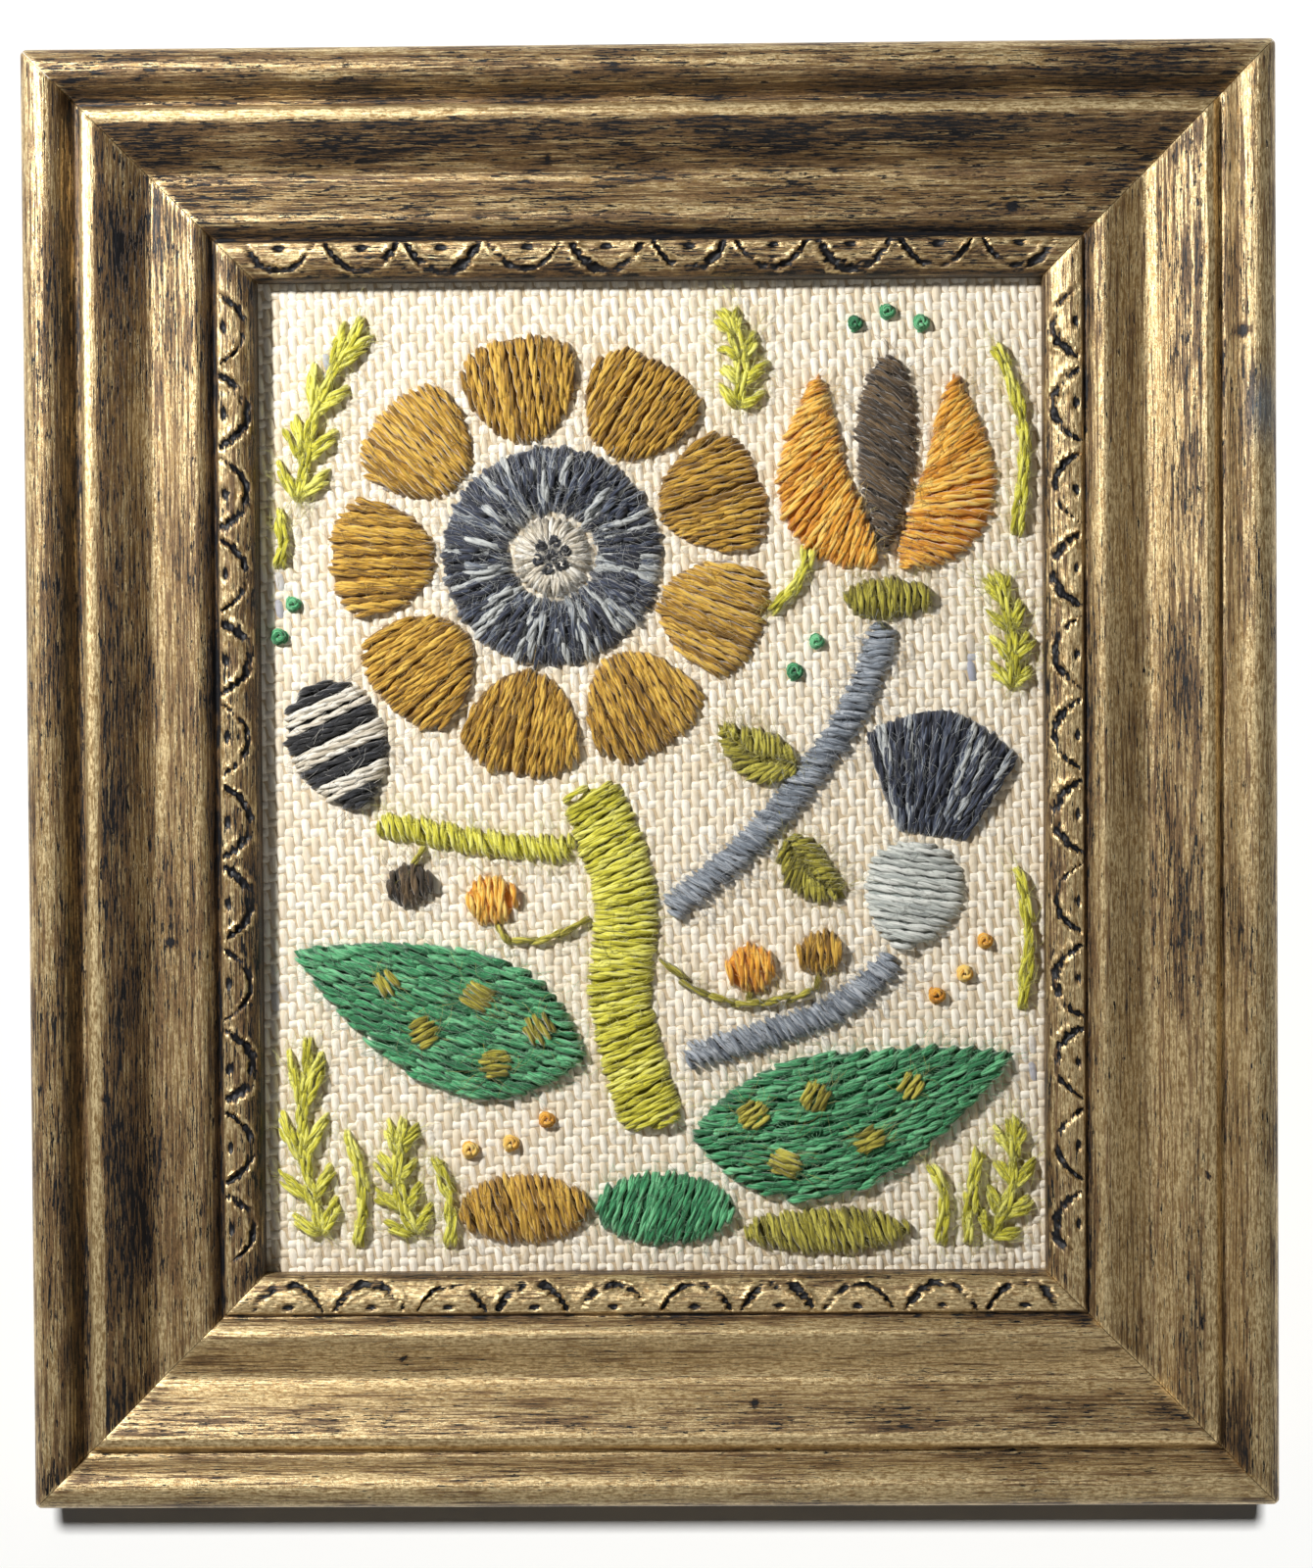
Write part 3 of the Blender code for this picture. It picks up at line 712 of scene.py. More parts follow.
def all_shapes():
    shapes = [Shape(*row) for row in MOTIFS]
    x, y = ROSETTE_CENTRE
    eye_line = ((x - EYE_RADIUS, y), (x + EYE_RADIUS, y))
    shapes.append(Shape("rosette_eye", "cream", "oval", 2 * EYE_RADIUS, EYE_HEIGHT, eye_line))
    for i in range(PETALS):
        angle = 2 * math.pi * (i + 0.5) / PETALS
        spoke = np.array([math.cos(angle), math.sin(angle)])
        line = (ROSETTE_CENTRE + spoke * PETAL_INNER, ROSETTE_CENTRE + spoke * PETAL_OUTER)
        shapes.append(Shape(f"rosette_petal_{i + 1}", "mustard", "round_petal", PETAL_WIDTH, 1.7, line))
    return {shape.name: shape for shape in shapes}


# Yarn

PLY_RADIUS = 0.31
PLY_OFFSET = 0.2
PLY_FLATNESS = 0.8
PLUNGE_LENGTH = 0.45
SIDEWAYS_BOW = 0.13
UNEVEN_HEIGHT = 0.04
FEWEST_RINGS = 7
MOST_RINGS = 40
TWIST_LENGTH = 5.4
YARN_PITCH = 0.8
RING_STEP = 0.9
PLY_SIDES = 5
SUNK = 0.45
REST_HEIGHT = 0.5
OVERHANG = 0.25
KNOT_TURNS = 2.2
HAIR_RADIUS = 0.022
HAIRS_PER_STITCH = 9
HAIR_POINTS = 3
UNDERLAY_RINGS = 22
UNDERLAY_SIDES = 12
MIXED_TONES = ((0.1, 0.36), (0.3, 0.26), (0.62, 0.2), (1.0, 0.18))

stitches = {name: [] for name in WOOLS}
knots = {name: [] for name in WOOLS}
underlays = {name: [] for name in WOOLS}


def sew(wool, start, end, low=0.0, high=0.0, crown=0.35, tone=None, spread=0.14):
    """Adds one straight stitch. low and high are its heights over the cloth at its two ends."""
    start = np.asarray(start, float) + chance.normal(0, spread, 2)
    end = np.asarray(end, float) + chance.normal(0, spread, 2)
    tone = chance.uniform(0.25, 0.75) if tone is None else tone
    if np.hypot(*(end - start)) > 0.9:
        stitches[wool].append((*start, *end, low, high, crown, tone))


def dome(shape, side=0.0):
    """How far stitches rise in the middle of a shape, at a side from -1 to 1."""
    return (shape.height - 1.0) * math.sqrt(max(0.0, 1 - side**2))


def mixed_tone():
    """The tone of one strand of a mixed slate, navy and grey wool."""
    tones, weights = zip(*MIXED_TONES)
    return chance.choice(tones, p=weights) + chance.normal(0, 0.06)


def underlay(shape, wool=None, margin=0.2):
    """A padded form of the same wool under a shape's stitches."""
    shares = np.linspace(0.0, 1.0, UNDERLAY_RINGS)
    half = np.maximum(shape.half * shape.outline(shares) - margin, 0.02)
    rise = (dome(shape) + 0.45) * np.maximum(np.sin(math.pi * shares), 0.0) ** 0.5 + 0.02
    middles, sideways = zip(*(shape.middle(share) for share in shares))
    line = np.column_stack([np.array(middles), np.full(UNDERLAY_RINGS, CLOTH_TOP)])
    sideways = np.column_stack([np.array(sideways), np.zeros(UNDERLAY_RINGS)]) * half[:, None]
    upward = np.zeros((UNDERLAY_RINGS, 3))
    upward[:, 2] = rise
    underlays[wool or shape.wool].append((line, sideways, upward))


# Rows, leaves and spines: measures in millimetres, overlaps as shares, and the lean in degrees
ROW_PITCH = 0.96
ROW_STITCH = 5.6
ROW_OVERLAP = 0.28
VEIN_SLANT = 42.0
SPINE_STITCH = 4.8
SPINE_STEP = 0.72
SPINE_LIFT = 0.1


def satin(shape, wool=None, slant=0.0, pitch=YARN_PITCH, first=0.0, last=1.0):
    """Side by side stitches from edge to edge, across the middle line. slant is their lean in degrees."""
    lean = math.tan(math.radians(slant))
    begin, finish = first * shape.length, last * shape.length
    count = max(1, round((finish - begin) / pitch))
    for i in range(count):
        share = shape.share_at(begin + (i + 0.5) * (finish - begin) / count)
        half = shape.half_width(share)
        if half < 0.35:
            continue
        shift = lean * half / shape.length
        one = shape.at(share - shift, 1.0, OVERHANG)
        other = shape.at(share + shift, -1.0, OVERHANG)
        sew(wool or shape.wool, one, other, crown=dome(shape) + 0.15)


def satin_along(shape, pitch=YARN_PITCH, flare=0.12):
    """Side by side stitches from a shape's base to its tip, which spread a little."""
    count = round(2 * shape.half / pitch)
    for i in range(count):
        side = 2 * (i + 0.5) / count - 1
        inside = shape.outline(shape.shares) > abs(side) * 0.98
        begin, finish = shape.travelled[inside][[0, -1]]
        ends = []
        for distance, spread in ((begin - OVERHANG, 1 - flare), (finish + OVERHANG, 1 + flare / 2)):
            share = shape.share_at(distance)
            place, across = shape.middle(share)
            past = distance - shape.travelled[int(share * (LINE_SAMPLES - 1))]
            along = np.array([across[1], -across[0]])
            ends.append(place + across * side * shape.half * spread + along * np.clip(past, -0.3, 0.3))
        sew(shape.wool, *ends, crown=dome(shape, side * 0.9) + 0.15)


def long_rows(shape):
    """Rows of overlapping stitches along a shape, each row shorter towards the edge."""
    rows = int(2 * shape.half / ROW_PITCH)
    for row in range(rows):
        offset = (row - (rows - 1) / 2) * ROW_PITCH
        inside = abs(offset) < shape.half * shape.outline(shape.shares) - 0.15
        if not inside.any():
            continue
        begin, finish = shape.travelled[inside][[0, -1]]
        distance = begin - chance.uniform(0, 1.5)
        while distance < finish - 1.0:
            reach = distance + ROW_STITCH * chance.uniform(0.8, 1.2)
            low, high = max(distance, begin - 0.2), min(reach, finish + 0.2)
            ends = []
            for along, drift in ((low, -0.24), (high, 0.24)):
                place, across = shape.middle(shape.share_at(along))
                ends.append(place + across * (offset + drift))
            half = shape.half_width(shape.share_at((low + high) / 2))
            lift = dome(shape, min(1.0, abs(offset) / max(half, 0.1))) * 0.9 + 0.2
            sew(shape.wool, *ends, lift, lift, 0.25, spread=0.08)
            distance = reach - ROW_STITCH * ROW_OVERLAP


def leaf_halves(shape):
    """Slanted stitches from a middle vein to each edge."""
    for side in (1.0, -1.0):
        distance = 0.5
        while distance < shape.length - 0.5:
            share = shape.share_at(distance)
            shift = math.tan(math.radians(VEIN_SLANT)) * shape.half_width(share) / shape.length
            inner = shape.at(share - shift * 0.4, -0.04 * side)
            outer = shape.at(min(share + shift * 0.6, 0.995), side, OVERHANG)
            sew(shape.wool, inner, outer, dome(shape) * 0.75, 0.0, 0.5)
            distance += YARN_PITCH


def radial_ring(centre, inner, outer, wool, height):
    """Two layers of long and short stitches round a ring, of mixed tones."""
    layers = ((0.84, (0.0, 0.3, 0.0), 0.0), (1.9, (0.1, 0.42, 0.26), 0.32))
    for pitch, starts, lift in layers:
        count = round(2 * math.pi * outer / pitch)
        for i in range(count):
            angle = 2 * math.pi * (i + chance.uniform(-0.2, 0.2)) / count
            begin = inner + (outer - inner) * (starts[i % 3] + chance.uniform(-0.04, 0.05))
            end = outer + chance.uniform(-0.4, 0.3) - 7 * lift
            swing = angle + chance.normal(0, 0.05)
            one = centre + begin * np.array([math.cos(swing), math.sin(swing)])
            other = centre + end * np.array([math.cos(angle), math.sin(angle)])
            side = 2 * (begin - inner) / (outer - inner) - 1
            low = (height - 1.0) * math.sqrt(max(0.0, 1 - side**2)) + lift
            sew(wool, one, other, low, 0.1 + lift, 0.45 + lift / 2, mixed_tone(), 0.08)


def radial_disc(centre, radius, wool, height):
    """Stitches from near a disc's middle to its rim."""
    count = round(2 * math.pi * radius / YARN_PITCH)
    for i in range(count):
        angle = 2 * math.pi * i / count
        way = np.array([math.cos(angle), math.sin(angle)])
        begin = radius * (0.1 if i % 2 else 0.3)
        sew(wool, centre + way * begin, centre + way * (radius + OVERHANG), height - 1.0, 0.0, 0.4)


def fan(shape):
    """Stitches that spread from a shape's base to its far edge in two layers, of mixed tones."""
    for count, layer in ((24, 0), (13, 1)):
        for i in range(count):
            side = 2 * (i + 0.5) / count - 1 + chance.normal(0, 0.02)
            inside = shape.outline(shape.shares) > abs(side) * 0.94
            end = shape.shares[inside][-1] - layer * chance.uniform(0.02, 0.2)
            begin = (0.0, 0.3)[i % 2] * (1 - layer) + layer * chance.uniform(0.1, 0.35)
            ends = []
            for share in (begin, end):
                place, across = shape.middle(share)
                opening = 0.42 + 0.58 * min(1.0, share / 0.75)
                ends.append(place + across * (side * 0.97 * shape.half * opening))
            lift = dome(shape, min(1.0, abs(side))) * 0.7 + 0.3 * layer
            sew(shape.wool, *ends, lift * min(1.0, 4 * begin), 0.3 * layer, 0.55, mixed_tone(), 0.08)


def spine(shape, strands=2):
    """A line of overlapping stitches along a shape's middle."""
    for strand in range(strands):
        drift = 0.62 * (strand - (strands - 1) / 2)
        distance = -0.3 * SPINE_STITCH * strand
        while distance < shape.length - 1.2:
            reach = min(distance + SPINE_STITCH, shape.length)
            ends = []
            for along, lean in ((max(distance, 0.0), -0.2), (reach, 0.2)):
                place, across = shape.middle(shape.share_at(along))
                ends.append(place + across * (drift + lean))
            sew(shape.wool, *ends, SPINE_LIFT, SPINE_LIFT + 0.1, 0.4)
            distance += SPINE_STITCH * SPINE_STEP


def fern(shape):
    """A spine with pairs of short stitches for leaflets."""
    spine(shape)
    for tooth in range(4):
        peak = (tooth + 0.5) / 4
        for side in (1.0, -1.0):
            for step in (-0.045, -0.01, 0.025):
                root = shape.at(peak - 0.12 + step, 0.06 * side)
                place, across = shape.middle(min(peak + 0.05 + step, 1.0))
                tip = place + across * side * shape.half_width(peak) * chance.uniform(0.86, 1.06)
                sew(shape.wool, root, tip, 0.3, 0.0, 0.35)


def spot(centre, angle, length, width, wool, lift):
    """A leaf-shaped satin spot on top of other stitching."""
    way = np.array([math.cos(angle), math.sin(angle)])
    across = np.array([-way[1], way[0]])
    count = max(3, round(width / 0.8))
    for i in range(count):
        side = 2 * (i + 0.5) / count - 1
        reach = length / 2 * math.sqrt(1 - (side * 0.85) ** 2)
        middle = np.asarray(centre) + across * side * width / 2
        sew(wool, middle - way * reach, middle + way * reach, lift, lift, 0.35, spread=0.07)


def knot(centre, wool, size=1.0, lift=0.0):
    """A small wound knot, kept as its middle line's points and how far it has turned at each."""
    turns = np.linspace(0, KNOT_TURNS * 2 * math.pi, 26)
    radius = size * (0.78 - 0.42 * turns / turns[-1])
    rise = lift + 0.25 + 0.75 * size * turns / turns[-1]
    phase = chance.uniform(0, 2 * math.pi)
    x = centre[0] + radius * np.cos(turns + phase)
    y = centre[1] + radius * np.sin(turns + phase)
    knots[wool].append((np.stack([x, y, CLOTH_TOP + rise], -1), turns + phase))


def tubes(lines, sideways, upward, radius, sides):
    """Closed tubes round lines of as many points each: points, faces and fibre places."""
    n, k, _ = lines.shape
    angle = 2 * math.pi * np.arange(sides) / sides
    ring = (
        np.cos(angle)[None, None, :, None] * sideways[:, :, None, :]
        + np.sin(angle)[None, None, :, None] * upward[:, :, None, :]
    )
    radius = np.broadcast_to(radius, (n, k))
    points = lines[:, :, None, :] + ring * radius[:, :, None, None]
    index = np.arange(n * k * sides).reshape(n, k, sides)
    here, after = index[:, :-1], index[:, 1:]
    quads = np.stack([here, np.roll(here, -1, 2), np.roll(after, -1, 2), after], -1).reshape(-1, 4)
    caps = np.concatenate([index[:, 0, ::-1], index[:, -1, :]])
    steps = np.cumsum(np.linalg.norm(np.diff(lines, axis=1), axis=2), 1)
    travelled = np.concatenate([np.zeros((n, 1)), steps], 1) + chance.uniform(0, 900, (n, 1))
    fibre = np.stack([
        np.broadcast_to(travelled[:, :, None], (n, k, sides)),
        np.broadcast_to(np.cos(angle) * PLY_RADIUS, (n, k, sides)),
        np.broadcast_to(np.sin(angle) * PLY_RADIUS, (n, k, sides)),
    ], -1)
    return points.reshape(-1, 3), quads, caps, fibre.reshape(-1, 3)


def stitch_rise(low, high, crown, share):
    """How high a stitch's middle lies over the cloth at a share of its length, before it plunges."""
    return low + (high - low) * share + crown * np.sin(math.pi * share) ** 0.7 + REST_HEIGHT


def stitch_tubes(rows):
    """The two twisted plies of every stitch in rows, grouped by how many rings they need."""
    rows = np.array(rows)
    length = np.hypot(*(rows[:, 2:4] - rows[:, 0:2]).T)
    rings = np.clip(np.round(length / RING_STEP).astype(int) + 4, FEWEST_RINGS, MOST_RINGS)
    batches = []
    for k in np.unique(rings):
        chosen = rows[rings == k]
        n = len(chosen)
        a, b = chosen[:, 0:2], chosen[:, 2:4]
        low, high, crown, tone = chosen[:, 4:8].T[:, :, None]
        span = np.hypot(*(b - a).T)[:, None]
        way = (b - a) / span
        left = np.stack([-way[:, 1], way[:, 0], np.zeros(n)], -1)
        even = np.linspace(0, 1, k)
        share = 0.7 * even + 0.3 * (1 - np.cos(math.pi * even)) / 2
        distance = share * span
        plunge = 1 - np.exp(-((np.minimum(distance, span - distance) / PLUNGE_LENGTH) ** 2))
        bow = chance.normal(0, SIDEWAYS_BOW, (n, 1)) * np.sin(math.pi * share)
        rise = stitch_rise(low, high, crown, share)
        rise = rise + chance.normal(0, UNEVEN_HEIGHT, (n, 1))
        z = CLOTH_TOP + rise * plunge - SUNK * (1 - plunge)
        xy = a[:, None] + way[:, None] * distance[:, :, None] + left[:, None, :2] * bow[:, :, None]
        line = np.concatenate([xy, z[:, :, None]], -1)
        tangent = np.gradient(line, axis=1)
        tangent /= np.linalg.norm(tangent, axis=2, keepdims=True)
        sideways = np.broadcast_to(left[:, None], line.shape)
        upward = np.cross(tangent, sideways)
        phase = chance.uniform(0, 2 * math.pi, (n, 1))
        turn = phase + 2 * math.pi * distance / (TWIST_LENGTH * chance.uniform(0.85, 1.2, (n, 1)))
        gather = 0.5 + 0.5 * plunge
        swell = 1 + 0.1 * np.sin(distance * 1.9 + phase) + 0.07 * np.sin(distance * 4.3 - 2 * phase)
        radius = PLY_RADIUS * gather * swell
        for ply in (0.0, math.pi):
            across = (PLY_OFFSET * gather * np.cos(turn + ply))[:, :, None]
            rising = (PLY_OFFSET * gather * PLY_FLATNESS * np.sin(turn + ply))[:, :, None]
            middle = line + sideways * across + upward * rising
            batches.append((*tubes(middle, sideways, upward, radius, PLY_SIDES), tone))
    return batches


def hair_lines(rows):
    """Stray fibres that leave the stitches at a low angle and lie about on them."""
    count = int(len(rows) * HAIRS_PER_STITCH) + 6
    rows = np.array(rows)[chance.integers(0, len(rows), count)]
    share = chance.uniform(0.08, 0.92, (count, 1))
    way = rows[:, 2:4] - rows[:, 0:2]
    base = rows[:, 0:2] + way * share + chance.normal(0, 0.25, (count, 2))
    low, high, crown = rows[:, 4:7].T[:, :, None]
    height = CLOTH_TOP + stitch_rise(low, high, crown, share) + PLY_RADIUS + 0.5 * PLY_OFFSET
    heading = np.arctan2(way[:, 1], way[:, 0])[:, None] + chance.normal(0, 0.4, (count, 1))
    heading = heading + math.pi * chance.integers(0, 2, (count, 1))
    t = np.linspace(0, 1, HAIR_POINTS)[None]
    heading = heading + chance.normal(0, 0.8, (count, 1)) * t
    step = chance.uniform(0.8, 3.0, (count, 1)) / (HAIR_POINTS - 1)
    x = base[:, :1] + np.cumsum(np.cos(heading) * step, 1)
    y = base[:, 1:] + np.cumsum(np.sin(heading) * step, 1)
    z = height - 0.12 + chance.uniform(0.0, 0.35, (count, 1)) * np.sin(math.pi * t)
    return np.stack([x, y, z], -1)


def frames_along(line):
    """Directions sideways and up for tubes that lie about flat."""
    tangent = np.gradient(line, axis=1)
    tangent /= np.linalg.norm(tangent, axis=2, keepdims=True)
    sideways = np.cross(np.array([0.0, 0.0, 1.0]), tangent)
    sideways /= np.linalg.norm(sideways, axis=2, keepdims=True)
    return sideways, np.cross(tangent, sideways)


def knot_tubes(line, turns):
    """The two plies of one wound knot."""
    line = line[None]
    sideways, upward = frames_along(line)
    tone = np.full((1, 1), chance.uniform(0.3, 0.8))
    made = []
    for ply in (0.0, math.pi):
        across = PLY_OFFSET * 0.8 * np.cos(turns * 1.5 + ply)[None, :, None]
        rising = PLY_OFFSET * 0.8 * np.sin(turns * 1.5 + ply)[None, :, None]
        middle = line + sideways * across + upward * rising
        made.append((*tubes(middle, sideways, upward, PLY_RADIUS * 0.9, PLY_SIDES), tone))
    return made


def wool_piece(name, replaced):
    """All the stitches, underlays, knots and stray fibres of one wool."""
    batches = stitch_tubes(stitches[name])
    for line, turns in knots[name]:
        batches.extend(knot_tubes(line, turns))
    for line, sideways, upward in underlays[name]:
        made = tubes(line[None], sideways[None], upward[None], 1.0, UNDERLAY_SIDES)
        batches.append((*made, np.zeros((1, 1))))
    hairs = hair_lines(stitches[name])
    if name == "black":
        hairs = np.concatenate([hairs, cloth_hairs()])
    sideways, upward = frames_along(hairs)
    made = tubes(hairs, sideways, upward, HAIR_RADIUS, 3)
    # The stray fibres take tones above the stitches' own, a painted highlight that makes them lighter
    batches.append((*made, chance.uniform(0.6, 1.5, (len(hairs), 1))))

    faces = {}
    start = 0
    for points, quads, caps, _, _ in batches:
        for group in (quads, caps):
            faces.setdefault(group.shape[1], []).append(group + start)
        start += len(points)
    tones = [np.repeat(tone[:, 0], len(points) // len(tone)) for points, _, _, _, tone in batches]
    piece = make_piece(
        "stitches_" + name,
        np.concatenate([batch[0] for batch in batches]),
        [np.concatenate(group) for group in faces.values()],
        wool_material(name),
        {"fibre": np.concatenate([batch[3] for batch in batches]), "tone": np.concatenate(tones)},
    )
    finish_piece(piece, replaced)


def cloth_hairs():
    """A few dark hairs that lie on the bare cloth."""
    t = np.linspace(0, 1, HAIR_POINTS)
    lines = []
    for x, y, heading, bend, length in CLOTH_HAIRS:
        turn = math.radians(heading) + math.radians(bend) * t
        step = length / (HAIR_POINTS - 1)
        lines.append(np.stack([
            x + np.cumsum(np.cos(turn) * step),
            y + np.cumsum(np.sin(turn) * step),
            np.full(HAIR_POINTS, CLOTH_TOP + 0.34),
        ], -1))
    return np.array(lines)


# Shapes in satin stitch across their middle line, with its lean in degrees
SATIN_LEANS = {
    "main_stem": 12,
    "tulip_left": 38,
    "tulip_right": 38,
    "tulip_heart": -30,
    "tulip_calyx": 8,
    "tulip_stem": 28,
    "thistle_stem": 28,
    "bud_stem": 28,
    "thistle_calyx": 6,
    "mound_left": 20,
    "mound_middle": -16,
    "mound_right": 24,
    "berry_high": 10,
    "berry_low": 10,
    "berry_left": 10,
    "berry_outer": 10,
}
EYE_KNOTS = [2 * math.pi * i / 6 + 0.3 for i in range(6)]
BUD_STRIPES = ("black", "cream", "black", "cream", "black", "cream", "black")

# Spots on the two large leaves: share of the length, side, lean in degrees, length, width
LEAF_SPOTS = {
    "leaf_right": (
        (0.22, 0.36, 40, 5.0, 3.4),
        (0.33, -0.42, -20, 5.4, 3.2),
        (0.46, 0.42, 55, 5.0, 3.4),
        (0.58, -0.36, 10, 5.2, 3.2),
        (0.73, 0.22, 35, 4.6, 2.8),
    ),
    "leaf_left": (
        (0.2, -0.3, -40, 5.0, 3.4),
        (0.32, 0.42, 25, 5.2, 3.4),
        (0.46, -0.4, -10, 5.4, 3.2),
        (0.58, 0.34, 50, 4.8, 3.2),
        (0.73, -0.16, -30, 4.6, 2.8),
    ),
}

# Wound knots: place and wool
KNOTS = (
    (-43.6, 21.4, "emerald"),
    (-45.4, 17.4, "emerald"),
    (17.4, 12.8, "emerald"),
    (20.2, 16.4, "emerald"),
    (34.6, -26.8, "orange"),
    (38.0, -24.2, "orange"),
    (40.4, -20.2, "orange"),
    (-13.2, -41.8, "orange"),
    (-17.6, -44.6, "orange"),
    (-22.6, -45.4, "orange"),
    (25.0, 55.0, "emerald"),
    (29.0, 56.4, "emerald"),
    (33.0, 55.0, "emerald"),
)

# Blades of grass and twigs, in lines of overlapping stitches: wool, strands, and the points on the way
SPRIGS = (
    ("chartreuse", 2, ((-36.6, -57.4), (-35.6, -50.6), (-37.6, -43.0))),
    ("chartreuse", 2, ((-25.2, -57.6), (-24.6, -51.4), (-27.0, -46.4))),
    ("chartreuse", 2, ((34.6, -57.6), (35.6, -52.0), (33.8, -47.4))),
    ("chartreuse", 2, ((38.0, -57.4), (38.6, -50.6), (39.8, -45.6))),
    ("chartreuse", 2, ((44.8, -28.6), (46.0, -19.6), (44.4, -11.0))),
    ("chartreuse", 2, ((44.2, 29.0), (45.6, 38.6), (44.0, 47.6), (42.0, 52.4))),
    ("chartreuse", 2, ((-45.6, 25.6), (-44.4, 29.0), (-45.0, 33.2))),
    ("chartreuse", 2, ((14.6, 20.0), (18.2, 23.6), (19.2, 28.0))),
    ("olive", 1, ((0.8, -22.0), (6.0, -26.4), (12.4, -28.0), (19.6, -26.0))),
    ("olive", 1, ((-7.6, -17.0), (-12.0, -19.6), (-17.6, -20.0))),
)
TWIGS = (
    ("olive", (11.6, -28.0), (12.0, -26.0)),
    ("olive", (19.6, -26.2), (20.4, -24.0)),
    ("olive", (-17.4, -20.0), (-19.4, -17.6)),
    ("olive", (-28.0, -8.0), (-29.4, -10.6)),
)

# Dark hairs on the cloth: start, heading and bend in degrees, and length
CLOTH_HAIRS = (
    (-31.0, -58.4, 35, 50, 7.0),
    (3.2, -58.6, 12, -40, 5.0),
    (40.0, 28.0, 250, 60, 5.5),
)


def embroider(shapes):
    """Sews every shape in the stitch that suits it."""
    for shape in shapes.values():
        if shape.kind != "fern":
            underlay(shape)
    for name, lean in SATIN_LEANS.items():
        satin(shapes[name], slant=lean)
    for name in ("stem_leaf_low", "stem_leaf_high"):
        leaf_halves(shapes[name])
    fan(shapes["thistle_fan"])
    for name, spots in LEAF_SPOTS.items():
        shape = shapes[name]
        long_rows(shape)
        for share, side, lean, length, width in spots:
            along = shape.directions[int(share * (LINE_SAMPLES - 1))]
            angle = math.atan2(along[1], along[0]) + math.radians(lean)
            lift = dome(shape, side) * 0.9 + 0.6
            spot(shape.at(share, side), angle, length, width, "olive", lift)
    for i, wool in enumerate(BUD_STRIPES):
        stripe = i / len(BUD_STRIPES), (i + 1) / len(BUD_STRIPES)
        satin(shapes["striped_bud"], wool, 6, YARN_PITCH * 0.95, *stripe)
    for shape in shapes.values():
        if shape.kind == "fern":
            fern(shape)
        elif shape.kind == "round_petal":
            satin_along(shape)
    centre = np.array(ROSETTE_CENTRE)
    ring_height = 1.8
    middle = (RING_INNER + RING_OUTER) / 2
    turns = np.linspace(0, 2 * math.pi, 4 * UNDERLAY_RINGS)
    spoke = np.column_stack([np.cos(turns), np.sin(turns), 0 * turns])
    line = np.array([*centre, CLOTH_TOP]) + spoke * middle
    upward = np.tile([0.0, 0.0, ring_height - 0.7], (len(turns), 1))
    underlays["slate"].append((line, -spoke * ((RING_OUTER - RING_INNER) / 2 - 0.3), upward))
    radial_ring(centre, RING_INNER, RING_OUTER, "slate", ring_height)
    radial_disc(centre, EYE_RADIUS, "cream", 1.7)
    for place in [(0.0, 0.0)] + [(1.7 * math.cos(turn), 1.7 * math.sin(turn)) for turn in EYE_KNOTS]:
        knot(centre + place, "black", 0.95, 0.75)
    for wool, strands, points in SPRIGS:
        spine(Shape("sprig", wool, "band", 2.0, 1.3, points), strands=strands)
    for wool, start, end in TWIGS:
        sew(wool, start, end, 0.1, 0.1)
    for x, y, wool in KNOTS:
        knot((x, y), wool, chance.uniform(0.9, 1.15))


# The cloth: two up, one down twill

WARP_PITCH = 1.056
WEFT_PITCH = 1.115
WARP_SLANT = 10.0
FLOAT_MARGIN = 1.4
FLOAT_ROOT = 0.2
SHEET_TOP_DROP = 0.12
HIDDEN_MARGIN = 1.3

# Faint blue ink: its width, the share of threads that it missed, its strength, and each line's ends
INK_WIDTH = 0.5
INK_GAPS = 0.45
INK_STRENGTH = 0.75
INK_LINES = (
    ((-45.2, 20.0), (-44.6, 29.0)),
    ((-46.0, -28.0), (-45.4, -20.0)),
    ((-33.8, -36.4), (-33.2, -31.0)),
    ((-38.6, 48.0), (-40.0, 53.0)),
    ((38.8, 12.0), (39.6, 16.4)),
    ((46.2, -38.0), (45.8, -33.0)),
)


def floats(centres, length, width, height, slant, along_y, tone, lengthwise, crosswise):
    """Many short domed lengths of thread. centres are their middles, and tone is each one's lightness."""
    n = len(centres)
    t = np.linspace(-1, 1, lengthwise + 1)
    v = np.linspace(-1, 1, crosswise + 1)
    taper = (1 - np.abs(t) ** 5.0).clip(0.05) ** 0.25
    dome_along = (1 - np.abs(t) ** 3.0).clip(0) ** 0.6
    round_off = (1 - (v * 0.97) ** 2) ** 0.4
    along = t[None, :, None] * length[:, None, None] / 2 + 0 * v
    across = v[None, None, :] * taper[None, :, None] * width[:, None, None] / 2
    across = across - along * np.tan(np.radians(slant))[:, None, None]
    up = dome_along[None, :, None] * round_off[None, None, :] * height[:, None, None] - FLOAT_ROOT
    x, y = (across, along) if along_y else (along, across)
    points = np.stack([x, y, up], -1) + centres[:, None, None, :]
    index = np.arange(n * len(t) * len(v)).reshape(n, len(t), len(v))
    a, b, c, d = index[:, :-1, :-1], index[:, 1:, :-1], index[:, 1:, 1:], index[:, :-1, 1:]
    order = (a, d, c, b) if along_y else (a, b, c, d)
    quads = np.stack(order, -1).reshape(-1, 4)
    offset = chance.uniform(0, 500, (n, 1, 1))
    fibre = np.stack([along + offset, across * 0.6, up * 0.6 + 0 * along], -1)
    return points.reshape(-1, 3), quads, fibre.reshape(-1, 3), np.repeat(tone, len(t) * len(v))


